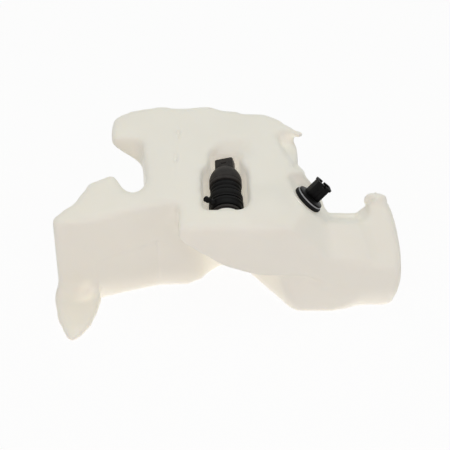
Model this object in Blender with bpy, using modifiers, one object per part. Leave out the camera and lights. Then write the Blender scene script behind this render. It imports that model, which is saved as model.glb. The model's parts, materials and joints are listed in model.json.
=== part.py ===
"""Washer fluid reservoir, lying on its back: a blow-moulded tank with its pump and its level sensor.

Sizes are in millimetres. X runs to the right, Y to the back and Z up, and the tank stands on Z = 0.
"""
import math

import bmesh
import bpy
from mathutils import Matrix, Vector
from mathutils.bvhtree import BVHTree

MM = 0.001
OBJECT_NAME = "washer_fluid_reservoir"
SEGMENTS = 24
FINE_SEGMENTS = 16

# The gap kept between touching pieces, and the running gap of what turns
SEAT_GAP = 0.3
RUNNING_GAP = 0.5

# Tank: overall places
TANK_LEFT = -188.0
TANK_RIGHT = 188.0
TANK_TOP = 170.0
WALL = 2.6
DECK_HEIGHT = 115.0
DECK_SLOPE = 0.25
CENTRE_FRONT = -75.0
WING_FRONT = -101.0
WING_BACK = -38.0
BACK_END = 67.0
CENTRE_LEFT = -92.0
CENTRE_RIGHT = 76.0
BAND_FRONT = -109.0
BAND_LEFT = -52.0
SHOULDER_BACK = -24.0
BELLY_FRONT = -122.0
TOE_TIP = (-167.0, -173.0)
TOE_HEIGHT = 12.0
STRIP_LEFT = -146.0
NOTCH_CENTRE = -104.0
NOTCH_WIDTH = 27.0
SADDLE_CENTRE = 126.0
SADDLE_FLOOR = 80.0
POST_HEIGHT = 106.0
POST_BACK = -42.0

# Tank: how finely the moulded form is worked
VOXEL = 4.0
SMOOTH_STEPS = 5
SWELL = 1.0
OUTER_FACES = 4600
INNER_FACES = 2000

# Filler neck on the back
NECK_X = 6.0
NECK_Z = 50.0
NECK_RADIUS = 21.0
NECK_BORE = 18.0
NECK_LENGTH = 20.0
NECK_BEAD = 1.5

# Fixing lugs and their metal sleeves: where each lug's hole is, and the side of the tank that carries it
LUG_THICKNESS = 6.0
LUG_RADIUS = 11.0
LUG_ROOT = 24.0
LUG_HOLE = 6.3
BUSH_HOLE = 4.2
BUSH_PROUD = 0.5
LUG_PLACES = {
    "left": (-150.0, WING_BACK + 13.0, 30.0),
    "right": (136.0, POST_BACK + 14.0, 30.0),
    "top": (-52.0, BACK_END + 17.0, 96.0),
}

# Pump: where its axis meets the pocket's front wall, and how it lies
PUMP_SEAT = (-1.5, CENTRE_FRONT - 2.0, DECK_HEIGHT - 18.0)
PUMP_TILT = math.radians(14.0)
PUMP_YAW = math.radians(1.5)
SEAT_PAD = 5.0
PUMP_PAD_RADIUS = 16.5
PUMP_HOLE = 11.0
PUMP_ROOM = 21.0
PUMP_LENGTH = 81.0
POCKET_WIDER = 2.0
POCKET_SPARE = 3.0
PLUG_ROOM = 17.0
POCKET_BACK = 20.0

# Pump: grommet and inlet
GROMMET_FLANGE = 15.0
GROMMET_FLANGE_THICKNESS = 3.0
GROMMET_LIP = 12.6
GROMMET_LIP_LENGTH = 4.0
SPIGOT_RADIUS = 7.0
SPIGOT_BORE = 4.5
SPIGOT_REACH = 12.0
COVER_RADIUS = 16.0
COVER_THICKNESS = 3.5

# Pump: housing, outlet and impeller
HOUSING_RADIUS = 19.0
HOUSING_TOP = 20.0
CHAMBER_RADIUS = 11.0
CHAMBER_TOP = 14.0
OUTLET_ANGLE = math.radians(38.7)
OUTLET_REACH = 30.0
OUTLET_RADIUS = 2.6
OUTLET_BORE = 1.6
IMPELLER_RADIUS = 10.0
IMPELLER_BLADES = 6
SHAFT_RADIUS = 1.2

# Pump: motor
CAN_RADIUS = 13.7
CAN_WALL = 0.9
CAN_TOP = HOUSING_TOP + 0.426 * (PUMP_LENGTH - HOUSING_TOP)
MAGNET_THICKNESS = 2.6
CORE_RADIUS = 9.0
CORE_LOW = HOUSING_TOP + 6.0
CORE_HIGH = CAN_TOP - 7.0
COIL_RADIUS = 8.0
COIL_HEAD = 2.6
COMMUTATOR_RADIUS = 3.2
COMMUTATOR_LOW = CAN_TOP - 2.0
COMMUTATOR_HIGH = CAN_TOP + 4.0
BUSH_RADIUS = 4.0
BUSH_LENGTH = 3.7
HOLDER_HIGH = CAN_TOP + 4.4
SHAFT_TOP = CAN_TOP + 8.5

# Pump: sleeve and cap
SLEEVE_RADIUS = 17.2
SLEEVE_GROOVE = 1.8
SLEEVE_FOOT_RADIUS = 18.6
CAP_LOW = CAN_TOP - 3.5
CAP_RADIUS = 18.0
CAP_SHOULDER = CAN_TOP + 7.0
CAP_NECK = PUMP_LENGTH - 14.5
CAP_NECK_RADIUS = 10.0
SHROUD_WIDTH = 20.5
SHROUD_DEPTH = 14.0
SHROUD_WALL = 1.8
SHROUD_FLOOR = PUMP_LENGTH - 11.5
SHROUD_ROLL = math.radians(15.0)
BLADE_WIDTH = 3.2
BLADE_THICKNESS = 0.8
BLADE_PITCH = 7.0

# Level sensor: where its axis meets the shoulder, and how it points
SENSOR_SEAT = (85.0, -58.0, DECK_HEIGHT - 9.5)
SENSOR_AXIS = (0.682, 0.146, 0.716)
SENSOR_PAD_RADIUS = 21.0
SENSOR_HOLE = 13.0
SENSOR_FLANGE = 17.5
SENSOR_FLANGE_THICKNESS = 4.2
SENSOR_LIP = 14.6
SENSOR_RING_THICKNESS = 1.0
SENSOR_DISC = 15.8
SENSOR_DISC_THICKNESS = 2.4
SENSOR_PLUG = 9.3
SENSOR_PLUG_REACH = 10.0
SENSOR_TOP = 28.0
SENSOR_SHROUD_WIDTH = 18.0
SENSOR_SHROUD_DEPTH = 11.0
STEM_WIDTH = 9.0
STEM_DEPTH = 6.0
HINGE_DROP = 40.0
HINGE_PIN_RADIUS = 1.0
TONGUE_THICKNESS = 3.0
REED_RADIUS = 1.3
FLOAT_RADIUS = 8.0
FLOAT_NEAR = 8.0
FLOAT_FAR = 26.0
MAGNET_BORE = 2.8


def deck_height(y):
    """The height of the tank's top face, which rises towards the back."""
    return DECK_HEIGHT + DECK_SLOPE * (y - CENTRE_FRONT)


# Collections and materials

def clear_scene():
    for obj in list(bpy.data.objects):
        bpy.data.objects.remove(obj, do_unlink=True)


def new_collection(name):
    collection = bpy.data.collections.new(name)
    bpy.context.scene.collection.children.link(collection)
    return collection


def material(name, colour, roughness, metallic=0.0):
    made = bpy.data.materials.new(name)
    made.use_nodes = True
    shader = made.node_tree.nodes["Principled BSDF"]
    shader.inputs["Base Color"].default_value = (*colour, 1.0)
    shader.inputs["Roughness"].default_value = roughness
    shader.inputs["Metallic"].default_value = metallic
    return made


# Solids

def as_object(name, mesh, collection):
    obj = bpy.data.objects.new(name, mesh)
    collection.objects.link(obj)
    return obj


def outline_block(name, outline, low, high, across="Z"):
    """A straight block: its outline in a plane, and its reach along the axis across that plane."""
    curve = bpy.data.curves.new(name, "CURVE")
    curve.dimensions = "2D"
    curve.fill_mode = "BOTH"
    curve.extrude = (high - low) / 2 * MM
    spline = curve.splines.new("POLY")
    spline.points.add(len(outline) - 1)
    spline.use_cyclic_u = True
    for point, (u, v) in zip(spline.points, outline):
        point.co = (u * MM, v * MM, 0, 1)
    middle = (low + high) / 2 * MM
    turn = {
        "Z": Matrix(((1, 0, 0, 0), (0, 1, 0, 0), (0, 0, 1, middle), (0, 0, 0, 1))),
        "Y": Matrix(((1, 0, 0, 0), (0, 0, -1, middle), (0, 1, 0, 0), (0, 0, 0, 1))),
        "X": Matrix(((0, 0, 1, middle), (1, 0, 0, 0), (0, 1, 0, 0), (0, 0, 0, 1))),
    }[across]
    obj = as_object(name, curve, WORK)
    mesh = bpy.data.meshes.new_from_object(obj.evaluated_get(bpy.context.evaluated_depsgraph_get()))
    bpy.data.objects.remove(obj)
    mesh.transform(turn)
    form = bmesh.new()
    form.from_mesh(mesh)
    bmesh.ops.remove_doubles(form, verts=form.verts, dist=0.00001)
    bmesh.ops.recalc_face_normals(form, faces=form.faces)
    form.to_mesh(mesh)
    form.free()
    return as_object(name, mesh, WORK)


def hull_block(name, points):
    """The tightest convex solid round some points."""
    form = bmesh.new()
    for point in points:
        form.verts.new(Vector(point) * MM)
    result = bmesh.ops.convex_hull(form, input=form.verts)
    spare = [v for v in result["geom_interior"] if isinstance(v, bmesh.types.BMVert)]
    bmesh.ops.delete(form, geom=spare, context="VERTS")
    bmesh.ops.recalc_face_normals(form, faces=form.faces)
    mesh = bpy.data.meshes.new(name)
    form.to_mesh(mesh)
    form.free()
    return as_object(name, mesh, WORK)


def cylinder(name, radius, low, high, place, end_radius=None, segments=SEGMENTS):
    """A round bar along the local Z of its place, from low to high."""
    form = bmesh.new()
    bmesh.ops.create_cone(
        form,
        cap_ends=True,
        segments=segments,
        radius1=radius * MM,
        radius2=(radius if end_radius is None else end_radius) * MM,
        depth=(high - low) * MM,
        matrix=place @ Matrix.Translation((0, 0, (low + high) / 2 * MM)),
    )
    mesh = bpy.data.meshes.new(name)
    form.to_mesh(mesh)
    form.free()
    return as_object(name, mesh, WORK)


def ball(name, radii, centre):
    """An ellipsoid with its three radii along X, Y and Z."""
    form = bmesh.new()
    bmesh.ops.create_uvsphere(form, u_segments=SEGMENTS, v_segments=FINE_SEGMENTS, radius=MM)
    bmesh.ops.scale(form, vec=radii, verts=form.verts)
    bmesh.ops.translate(form, vec=Vector(centre) * MM, verts=form.verts)
    mesh = bpy.data.meshes.new(name)
    form.to_mesh(mesh)
    form.free()
    return as_object(name, mesh, WORK)


def bake(obj):
    """Puts the modifiers' result into the object's own mesh."""
    graph = bpy.context.evaluated_depsgraph_get()
    mesh = bpy.data.meshes.new_from_object(obj.evaluated_get(graph))
    obj.modifiers.clear()
    obj.data = mesh


def combine(obj, tool, operation):
    """Joins the tool to the object, or cuts it away, and uses the tool up."""
    step = obj.modifiers.new(operation, "BOOLEAN")
    step.operation = operation
    step.object = tool
    bake(obj)
    bpy.data.objects.remove(tool)


def add(obj, *tools):
    for tool in tools:
        combine(obj, tool, "UNION")


def cut(obj, *tools):
    for tool in tools:
        combine(obj, tool, "DIFFERENCE")


# Tank: the blocks of its outer form

def wing():
    """The left wing, with the rounded bump beside its saddle notch."""
    outline = [
        (TANK_LEFT, WING_FRONT + 6),
        (TANK_LEFT + 4, WING_FRONT + 12),
        (TANK_LEFT + 20, -76),
        (TANK_LEFT + 28, -62),
        (TANK_LEFT + 36, -46),
        (TANK_LEFT + 46, WING_BACK - 1),
        (TANK_LEFT + 60, WING_BACK + 4),
        (NOTCH_CENTRE - 18, WING_BACK + 1),
        (NOTCH_CENTRE - 12, WING_BACK - 8),
        (NOTCH_CENTRE, WING_BACK - 14),
        (NOTCH_CENTRE + 10, WING_BACK - 10),
        (NOTCH_CENTRE + 17, WING_BACK + 2),
        (-60, WING_BACK + 8),
        (-44, CENTRE_FRONT + 3),
        (-70, CENTRE_FRONT),
        (-103, CENTRE_FRONT - 9),
        (-141, WING_FRONT + 4),
        (-167, WING_FRONT),
        (-182, WING_FRONT - 2),
    ]
    return outline_block("wing", outline, 0, TANK_TOP)


def arm():
    """The upper block's left arm, whose underside rises to its end."""
    plan = [(-131, 19), (-131, 48), (-122, 58), (-98, 65), (-80, 65), (-80, 19)]
    points = []
    for x, y in plan:
        points.append((x, y, TANK_TOP))
        points.append((x, y, DECK_HEIGHT + 13 - 0.8 * (x + 131)))
    return hull_block("arm", points)


def centre():
    """The main body: from the recessed front wall to the back of the upper block."""
    outline = [
        (CENTRE_LEFT - 4, 19),
        (CENTRE_LEFT, -18),
        (CENTRE_LEFT + 4, -43),
        (-70, CENTRE_FRONT),
        (-44, CENTRE_FRONT + 3),
        (-31, CENTRE_FRONT + 10),
        (-18, -48),
        (-6, -36),
        (22, -49),
        (60, -60),
        (72, -14),
        (CENTRE_RIGHT, -4),
        (CENTRE_RIGHT + 2, 4),
        (CENTRE_RIGHT + 2, 28),
        (72, 38),
        (53, BACK_END - 15),
        (40, BACK_END - 8),
        (12, BACK_END - 7),
        (-9, BACK_END - 3),
        (-20, BACK_END + 3),
        (-40, BACK_END + 1),
        (-62, BACK_END),
        (-76, BACK_END + 3),
        (-98, BACK_END - 2),
        (CENTRE_LEFT - 4, 40),
    ]
    return outline_block("centre", outline, 0, TANK_TOP)


def right_body():
    """The right body seen from the front: band, shoulder slope, saddle and end post."""
    outline = [
        (BAND_LEFT, TANK_TOP),
        (BAND_LEFT, DECK_HEIGHT - 23),
        (BAND_LEFT + 4, DECK_HEIGHT - 29),
        (-29, DECK_HEIGHT - 43),
        (-5, 55),
        (22, 45),
        (43, 40),
        (63, 43),
        (87, 41),
        (104, 32),
        (127, 9),
        (150, 0),
        (175, 0),
        (181, 4),
        (TANK_RIGHT - 2, 20),
        (TANK_RIGHT, 34),
        (TANK_RIGHT - 1, 62),
        (180, POST_HEIGHT - 22),
        (175, POST_HEIGHT - 11),
        (169, POST_HEIGHT - 2),
        (161, POST_HEIGHT + 1),
        (155, POST_HEIGHT - 2),
        (149, POST_HEIGHT - 10),
        (143, SADDLE_FLOOR + 11),
        (136, SADDLE_FLOOR + 3),
        (SADDLE_CENTRE, SADDLE_FLOOR),
        (116, SADDLE_FLOOR + 3),
        (109, SADDLE_FLOOR + 10),
        (100, SADDLE_FLOOR + 16),
        (91, DECK_HEIGHT - 3),
        (80, DECK_HEIGHT + 10),
        (66, DECK_HEIGHT + 19),
        (66, TANK_TOP),
    ]
    return outline_block("right_body", outline, BAND_FRONT, SHOULDER_BACK, "Y")


def belly():
    """The belly under the band, leaning out towards its foot."""
    plan = [
        (22, -49),
        (44, -80),
        (67, -113),
        (74, BELLY_FRONT + 2),
        (95, BELLY_FRONT),
        (119, BELLY_FRONT + 2),
        (152, BAND_FRONT + 2),
        (160, -60),
        (60, -40),
    ]
    block = outline_block("belly", plan, 0, 60)
    side = [(-200, -10), (BELLY_FRONT - 4, -10), (-95, 46), (-95, 90), (-200, 90)]
    lean = hull_block("lean", [(x, y, z) for x in (0, 200) for y, z in side])
    cut(block, lean)
    return block


def toe():
    """The pointed foot that runs forward from the left wing, a thin wedge under its ramp."""
    tip_x, tip_y = TOE_TIP
    back = WING_FRONT + 12
    plan = [
        (tip_x - 4, tip_y + 5),
        (-184, -137),
        (TANK_LEFT - 3, WING_FRONT - 2),
        (-182, back),
        (-140, back),
        (-140, WING_FRONT - 6),
        (-143, -126),
        (-149, -150),
        (tip_x + 4, tip_y + 3),
        (tip_x, tip_y),
    ]
    block = outline_block("toe", plan, 0, 60)
    side = [
        (tip_y - 20, 4),
        (WING_FRONT - 12, TOE_HEIGHT),
        (back + 4, TOE_HEIGHT + 16),
        (back + 4, 90),
        (tip_y - 20, 90),
    ]
    ramp = hull_block("ramp", [(x, y, z) for x in (-220, -120) for y, z in side])
    cut(block, ramp)
    return block


def sky():
    """All that lies above the tank's sloping top face."""
    front, back = -220, 130
    outline = [(front, deck_height(front)), (back, deck_height(back)), (back, 300), (front, 300)]
    return outline_block("sky", outline, -260, 260, "X")


def end_slope():
    """What is cut off the front of the saddle and the post to leave their sloping faces."""
    side = [(-140, 22), (-48, POST_HEIGHT + 2), (-48, 200), (-140, 200)]
    return hull_block("end_slope", [(x, y, z) for x in (116, 220) for y, z in side])


def post_back():
    """What is cut off behind the saddle and the post, which are thinner than the shoulder."""
    plan = [(99, 4), (99, SHOULDER_BACK + 4), (116, POST_BACK), (230, POST_BACK), (230, 4)]
    return hull_block("post_back", [(x, y, z) for z in (-20, 200) for x, y in plan])


def shoulder_slope():
    """The blend between the front face and the sensor's shoulder."""
    points = []
    for x, low, middle, high in (
        (60, DECK_HEIGHT - 31, DECK_HEIGHT - 3, DECK_HEIGHT + 45),
        (118, SADDLE_FLOOR - 54, SADDLE_FLOOR - 24, SADDLE_FLOOR + 14),
    ):
        points += [(x, -140, low), (x, BAND_FRONT, middle), (x, -60, high), (x, -140, 220), (x, -60, 220)]
    return hull_block("shoulder_slope", points)


def saddle_notch():
    """The shallow saddle that opens onto the left notch."""
    y = WING_BACK - 8
    return ball("saddle_notch", (NOTCH_WIDTH * 0.7, 24, 18), (NOTCH_CENTRE, y, deck_height(y) + 7.8))


def corner_step():
    """The low step at the upper block's right end."""
    return hull_block("corner_step", [
        (x, y, z) for z in (DECK_HEIGHT + 9, TANK_TOP + 50)
        for x, y in ((54, 28), (120, 40), (120, -30), (66, -10))
    ])


def pump_place():
    """The pump's own frame: Z runs along its axis to the connector, and Y points up."""
    axis = Vector((
        -math.sin(PUMP_YAW) * math.cos(PUMP_TILT),
        math.cos(PUMP_YAW) * math.cos(PUMP_TILT),
        math.sin(PUMP_TILT),
    ))
    return frame_along(PUMP_SEAT, axis, Vector((0, 0, 1)))


def sensor_place():
    """The sensor's own frame: Z runs outwards along its axis, and Y lies nearest the tank's Y."""
    return frame_along(SENSOR_SEAT, Vector(SENSOR_AXIS), Vector((0, 1, 0)))


def frame_along(origin, axis, guide):
    """A frame with its Z along the axis and its Y as near the guide as it can be."""
    z = axis.normalized()
    x = guide.cross(z).normalized()
    y = z.cross(x)
    turn = Matrix((x, y, z)).transposed().to_4x4()
    return Matrix.Translation(Vector(origin) * MM) @ turn


def cut_pocket(form):
    """The pocket that the pump lies in, open at the top, round below and narrower at the connector."""
    place = pump_place()
    room = PUMP_ROOM + POCKET_SPARE
    neck = CAP_SHOULDER + 7
    end = PUMP_LENGTH + 5
    for half, wider, low, high in ((room, POCKET_WIDER, -SWELL, neck), (PLUG_ROOM, 0, neck - 3, end)):
        trough = cylinder("trough", half, low, high, place)
        shaft = hull_block("shaft", [
            place @ (Vector((x, y, z)) * MM) / MM
            for x in (-half, half + wider) for y in (0, 60) for z in (low, high)
        ])
        cut(form, trough, shaft)
    cut(form, pocket_funnel(neck - 5, end - 2))


def pocket_funnel(low, end):
    """What joins the pocket's wide part to its narrow end with slanting side walls."""
    place = pump_place()
    points = []
    for z, half in ((low, PUMP_ROOM), (end, PLUG_ROOM - 3)):
        for x in (-half, half):
            points += [(x, 1, z), (x, 63, z)]
    return hull_block("pocket_funnel", [place @ (Vector(point) * MM) / MM for point in points])


def pocket_scoop():
    """The shallow ramp from the pocket's end up to the top face."""
    x, y, _ = PUMP_SEAT
    end = y + PUMP_LENGTH
    low = deck_height(end) - 11
    points = [(x - 9, end, low), (x + 11, end, low)]
    for left, right, back in ((x - 24, x + 30, end - 16), (x - 8, x + 30, POCKET_BACK)):
        for height in (deck_height(back) + 1, deck_height(back) + 30):
            points += [(left, back, height), (right, back, height)]
    return hull_block("pocket_scoop", points)


def shoulder_dome():
    """The low swelling of the top face between the pump and the sensor."""
    y = -62
    return ball("shoulder_dome", (46, 50, 27), (42, y, deck_height(y) - 22.8))


def front_scoop():
    """The hollow in the left wing's front above its foot."""
    x = STRIP_LEFT
    front = WING_FRONT - 12
    return hull_block("front_scoop", [
        (x - 29, front, 9),
        (x, front, 9),
        (x, front, 52),
        (x - 20, WING_FRONT + 2, 9),
        (x - 1, WING_FRONT + 9, 9),
        (x - 1, WING_FRONT + 2, 46),
    ])


def front_recess():
    """The shallow recess in the wing's front to the right of the foot."""
    depth = 2.2
    points = []
    for z_low, x, y, z_high in ((-5, -139, WING_FRONT + 3, 52), (-5, -72, CENTRE_FRONT, 62)):
        for reach in (-20, depth):
            points.append((x, y + reach, z_low))
            points.append((x, y + reach, z_high))
    return hull_block("front_recess", points)


def end_hump():
    """The rounded hump at the foot of the saddle, proud of the post's slope."""
    front = BAND_FRONT + 4
    return hull_block("end_hump", [
        (112, front, 40),
        (160, front, 40),
        (158, front, 58),
        (112, front, 64),
        (143, -76, SADDLE_FLOOR + 9),
        (112, -76, SADDLE_FLOOR + 12),
        (112, -40, SADDLE_FLOOR - 10),
        (150, -40, SADDLE_FLOOR - 10),
    ])


def corner_nub():
    """The small nub on the upper block's right corner."""
    y = 27
    return ball("corner_nub", (6, 5, 5), (CENTRE_RIGHT + 4, y, deck_height(y) - 2.5))


def tank_form():
    """The tank's outside as sharp-edged blocks."""
    form = centre()
    form.name = "tank_shell"
    add(form, wing(), arm(), belly(), toe())
    body = right_body()
    cut(body, end_slope(), post_back(), shoulder_slope(), sensor_slope())
    add(form, body, end_hump())
    cut(form, sky(), saddle_notch(), corner_step(), front_scoop(), front_recess())
    add(form, shoulder_dome(), corner_nub())
    cut(form, pocket_scoop())
    cut_pocket(form)
    return form


def sensor_slope():
    """What is cut off the shoulder to leave the sloping face that the sensor sits on."""
    place = sensor_place()
    corners = [Vector((x, y, z)) for x in (-30, 60) for y in (-34, 26) for z in (0, 40)]
    return hull_block("sensor_slope", [place @ (corner * MM) / MM for corner in corners])


def remesh(obj):
    step = obj.modifiers.new("remesh", "REMESH")
    step.mode = "VOXEL"
    step.voxel_size = VOXEL * MM
    bake(obj)


def offset_skin(obj, offset):
    step = obj.modifiers.new("offset", "DISPLACE")
    step.mid_level = 0
    step.strength = offset * MM
    bake(obj)


def thin_faces(obj, faces):
    triangles = sum(len(p.vertices) - 2 for p in obj.data.polygons)
    step = obj.modifiers.new("thin", "DECIMATE")
    step.ratio = faces / triangles
    bake(obj)


def soften(obj):
    """Rounds the blocks into one moulded skin."""
    remesh(obj)
    smooth = obj.modifiers.new("smooth", "SMOOTH")
    smooth.factor = 0.5
    smooth.iterations = SMOOTH_STEPS
    bake(obj)
    offset_skin(obj, SWELL)


def hollow(obj):
    """The space inside the tank: the largest body left when its skin is moved in by the wall."""
    inside = as_object("hollow", obj.data.copy(), WORK)
    offset_skin(inside, -WALL)
    remesh(inside)
    form = bmesh.new()
    form.from_mesh(inside.data)
    keep = largest_island(form)
    bmesh.ops.delete(form, geom=[v for v in form.verts if v not in keep], context="VERTS")
    form.to_mesh(inside.data)
    form.free()
    thin_faces(inside, INNER_FACES)
    return inside


def keep_wall(inside, skin):
    """Moves the inner skin's points inwards wherever the wall would be thinner than it should."""
    tree = BVHTree.FromObject(skin, bpy.context.evaluated_depsgraph_get())
    for vert in inside.data.vertices:
        nearest, normal, _, _ = tree.find_nearest(vert.co)
        wall = (nearest - vert.co).dot(normal)
        if wall < WALL * MM:
            vert.co -= normal * (WALL * MM - wall)


def largest_island(form):
    """The vertices of a mesh's largest connected piece."""
    left = set(form.verts)
    largest = set()
    while left:
        island = set()
        queue = [left.pop()]
        while queue:
            vert = queue.pop()
            island.add(vert)
            for edge in vert.link_edges:
                other = edge.other_vert(vert)
                if other in left:
                    left.remove(other)
                    queue.append(other)
        if len(island) > len(largest):
            largest = island
    return largest


def stand_flat(obj):
    """Levels the underside on Z = 0."""
    ground = outline_block("ground", [(-260, -260), (260, -260), (260, 260), (-260, 260)], -40, 0)
    cut(obj, ground)


def level(height):
    return Matrix.Translation((0, 0, height * MM))


def upright(x, y):
    return Matrix.Translation((x * MM, y * MM, 0))


def lug(name):
    """One fixing lug: a flat tab with a rounded end, carried by the tank's wall."""
    x, y, z = LUG_PLACES[name]
    wide = LUG_RADIUS
    plan = [(x - wide, y), (x - wide - 4, y - LUG_ROOT), (x + wide + 4, y - LUG_ROOT), (x + wide, y)]
    tab = cylinder("lug_" + name, wide, z, z + LUG_THICKNESS, upright(x, y))
    add(tab, outline_block("root", plan, z, z + LUG_THICKNESS))
    return tab


def neck_place():
    return frame_along((NECK_X, BACK_END, NECK_Z), Vector((0, 1, 0)), Vector((0, 0, 1)))


def build_tank():
    """The blown tank: its softened form hollowed out, with its seats, neck and lugs joined and bored."""
    tank = tank_form()
    soften(tank)
    inside = hollow(tank)
    thin_faces(tank, OUTER_FACES)
    keep_wall(inside, tank)
    stand_flat(tank)
    pump, sensor, neck = pump_place(), sensor_place(), neck_place()
    cut(tank, inside)
    add(
        tank,
        cylinder("pump_pad", PUMP_PAD_RADIUS, -SEAT_PAD, 0, pump),
        cylinder("sensor_pad", SENSOR_PAD_RADIUS, -SEAT_PAD, 0, sensor),
        cylinder("neck", NECK_RADIUS, -12, NECK_LENGTH, neck),
        cylinder("neck_bead", NECK_RADIUS + NECK_BEAD, NECK_LENGTH - 4, NECK_LENGTH, neck),
    )
    add(tank, *[lug(name) for name in LUG_PLACES])
    cut(
        tank,
        cylinder("pump_flare", PUMP_PAD_RADIUS, 0, 6, pump, PUMP_ROOM),
        cylinder("pump_room", PUMP_ROOM, 5, HOUSING_TOP, pump),
        cylinder("pump_hole", PUMP_HOLE, -SEAT_PAD - 5, 5, pump),
        cylinder("sensor_room", SENSOR_PAD_RADIUS, 0, 30, sensor),
        cylinder("sensor_hole", SENSOR_HOLE, -SEAT_PAD - 5, 5, sensor),
        cylinder("neck_bore", NECK_BORE, -16, NECK_LENGTH + 5, neck),
    )
    for x, y, z in LUG_PLACES.values():
        cut(tank, cylinder("lug_hole", LUG_HOLE, z - 5, z + LUG_THICKNESS + 5, upright(x, y)))
    finish(tank, "tank_shell", IVORY)


def lug_bushes():
    """The steel sleeve in each lug's hole, a little longer than the lug is thick."""
    outline = ring(BUSH_HOLE, LUG_HOLE - SEAT_GAP, -BUSH_PROUD, LUG_THICKNESS + BUSH_PROUD)
    for name, place in LUG_PLACES.items():
        bush = finish(turned("lug_bush_" + name, outline), "lug_bush_" + name, STEEL)
        bush.location = Vector(place) * MM


# Turned and cut pieces

def turned(name, outline, segments=SEGMENTS):
    """A solid of revolution about Z. Its outline of (radius, height) runs down its outer side."""
    mesh = bpy.data.meshes.new(name)
    closed = all(radius > 0 for radius, _ in outline)
    points = [(radius * MM, 0, height * MM) for radius, height in outline]
    edges = [(i, i + 1) for i in range(len(points) - 1)]
    if closed:
        edges.append((len(points) - 1, 0))
    mesh.from_pydata(points, edges, [])
    obj = as_object(name, mesh, WORK)
    screw = obj.modifiers.new("turn", "SCREW")
    screw.steps = segments
    screw.render_steps = segments
    screw.use_merge_vertices = True
    screw.merge_threshold = 0.00001
    bake(obj)
    return obj


def ring(inner, outer, low, high):
    return [(inner, high), (outer, high), (outer, low), (inner, low)]


def box(name, size, centre):
    """A block of a size round its centre."""
    form = bmesh.new()
    bmesh.ops.create_cube(form, size=MM)
    bmesh.ops.scale(form, vec=size, verts=form.verts)
    bmesh.ops.translate(form, vec=Vector(centre) * MM, verts=form.verts)
    mesh = bpy.data.meshes.new(name)
    form.to_mesh(mesh)
    form.free()
    return as_object(name, mesh, WORK)


def rounded_box(name, width, depth, low, high, corner):
    """An upright block with rounded corners."""
    outline = []
    for quarter, (sx, sy) in enumerate(((1, 1), (-1, 1), (-1, -1), (1, -1))):
        for step in range(4):
            angle = math.radians(90 * quarter + 30 * step)
            outline.append((
                sx * (width / 2 - corner) + corner * math.cos(angle),
                sy * (depth / 2 - corner) + corner * math.sin(angle),
            ))
    return outline_block(name, outline, low, high)


def turn_about_z(obj, angle):
    obj.data.transform(Matrix.Rotation(angle, 4, "Z"))
    return obj


def finish(obj, name, look, carrier=None):
    """Names a piece, gives it its material and hangs it on its carrier."""
    obj.name = name
    obj.data.name = name
    obj.data.materials.clear()
    obj.data.materials.append(look)
    obj.data.shade_smooth()
    obj.data.set_sharp_from_angle(angle=math.radians(35))
    WORK.objects.unlink(obj)
    PARTS.objects.link(obj)
    obj.parent = carrier
    return obj


def carrier(name, place, parent=None):
    """An empty that holds the pieces of one group in their own frame."""
    empty = bpy.data.objects.new(name, None)
    PARTS.objects.link(empty)
    empty.parent = parent
    empty.matrix_local = place
    return empty


# Pump pieces, in the pump's own frame

def pump_grommet(axis):
    face = SEAT_GAP
    under = -SEAT_PAD - SEAT_GAP
    inner = SPIGOT_RADIUS + SEAT_GAP
    neck = PUMP_HOLE - SEAT_GAP
    outline = [
        (inner, face + GROMMET_FLANGE_THICKNESS),
        (GROMMET_FLANGE - 1, face + GROMMET_FLANGE_THICKNESS),
        (GROMMET_FLANGE, face + GROMMET_FLANGE_THICKNESS - 1),
        (GROMMET_FLANGE, face),
        (neck, face),
        (neck, under),
        (GROMMET_LIP, under),
        (GROMMET_LIP, under - 1),
        (PUMP_HOLE - 1.5, under - GROMMET_LIP_LENGTH),
        (inner, under - GROMMET_LIP_LENGTH),
    ]
    finish(turned("pump_grommet", outline), "pump_grommet", RUBBER, axis)


def inlet_cover(axis):
    """The pump's inlet: a disc with the spigot that plugs into the grommet."""
    low = SEAT_GAP + GROMMET_FLANGE_THICKNESS + SEAT_GAP
    high = low + COVER_THICKNESS
    outline = [
        (SPIGOT_BORE, high),
        (COVER_RADIUS, high),
        (COVER_RADIUS, low),
        (SPIGOT_RADIUS, low),
        (SPIGOT_RADIUS, 1 - SPIGOT_REACH),
        (SPIGOT_RADIUS - 1, -SPIGOT_REACH),
        (SPIGOT_BORE, -SPIGOT_REACH),
    ]
    finish(turned("inlet_cover", outline), "inlet_cover", DARK_PLASTIC, axis)
    return high


def inlet_strainer(axis):
    """A small slotted thimble plugged into the spigot's end."""
    outer = SPIGOT_BORE - SEAT_GAP
    low = -SPIGOT_REACH - SEAT_GAP - 1.2
    outline = [
        (outer - 0.9, -3),
        (outer, -3),
        (outer, -SPIGOT_REACH - SEAT_GAP),
        (SPIGOT_RADIUS - 0.6, -SPIGOT_REACH - SEAT_GAP),
        (SPIGOT_RADIUS - 0.6, low),
        (outer - 0.9, low),
    ]
    strainer = turned("inlet_strainer", outline, FINE_SEGMENTS)
    for step in range(-1, 2):
        bar = box("bar", (2 * outer, 0.8, 1.0), (0, step * 2.0, low + 0.5))
        add(strainer, bar)
    finish(strainer, "inlet_strainer", DARK_PLASTIC, axis)


def outlet_place():
    """The outlet's frame: Z runs from the pump's axis out through the barb."""
    height = (CHAMBER_TOP + 8) / 2 + 1
    way = Vector((math.cos(OUTLET_ANGLE), math.sin(OUTLET_ANGLE), 0))
    return frame_along((0, 0, height), way, Vector((0, 0, 1)))


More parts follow.
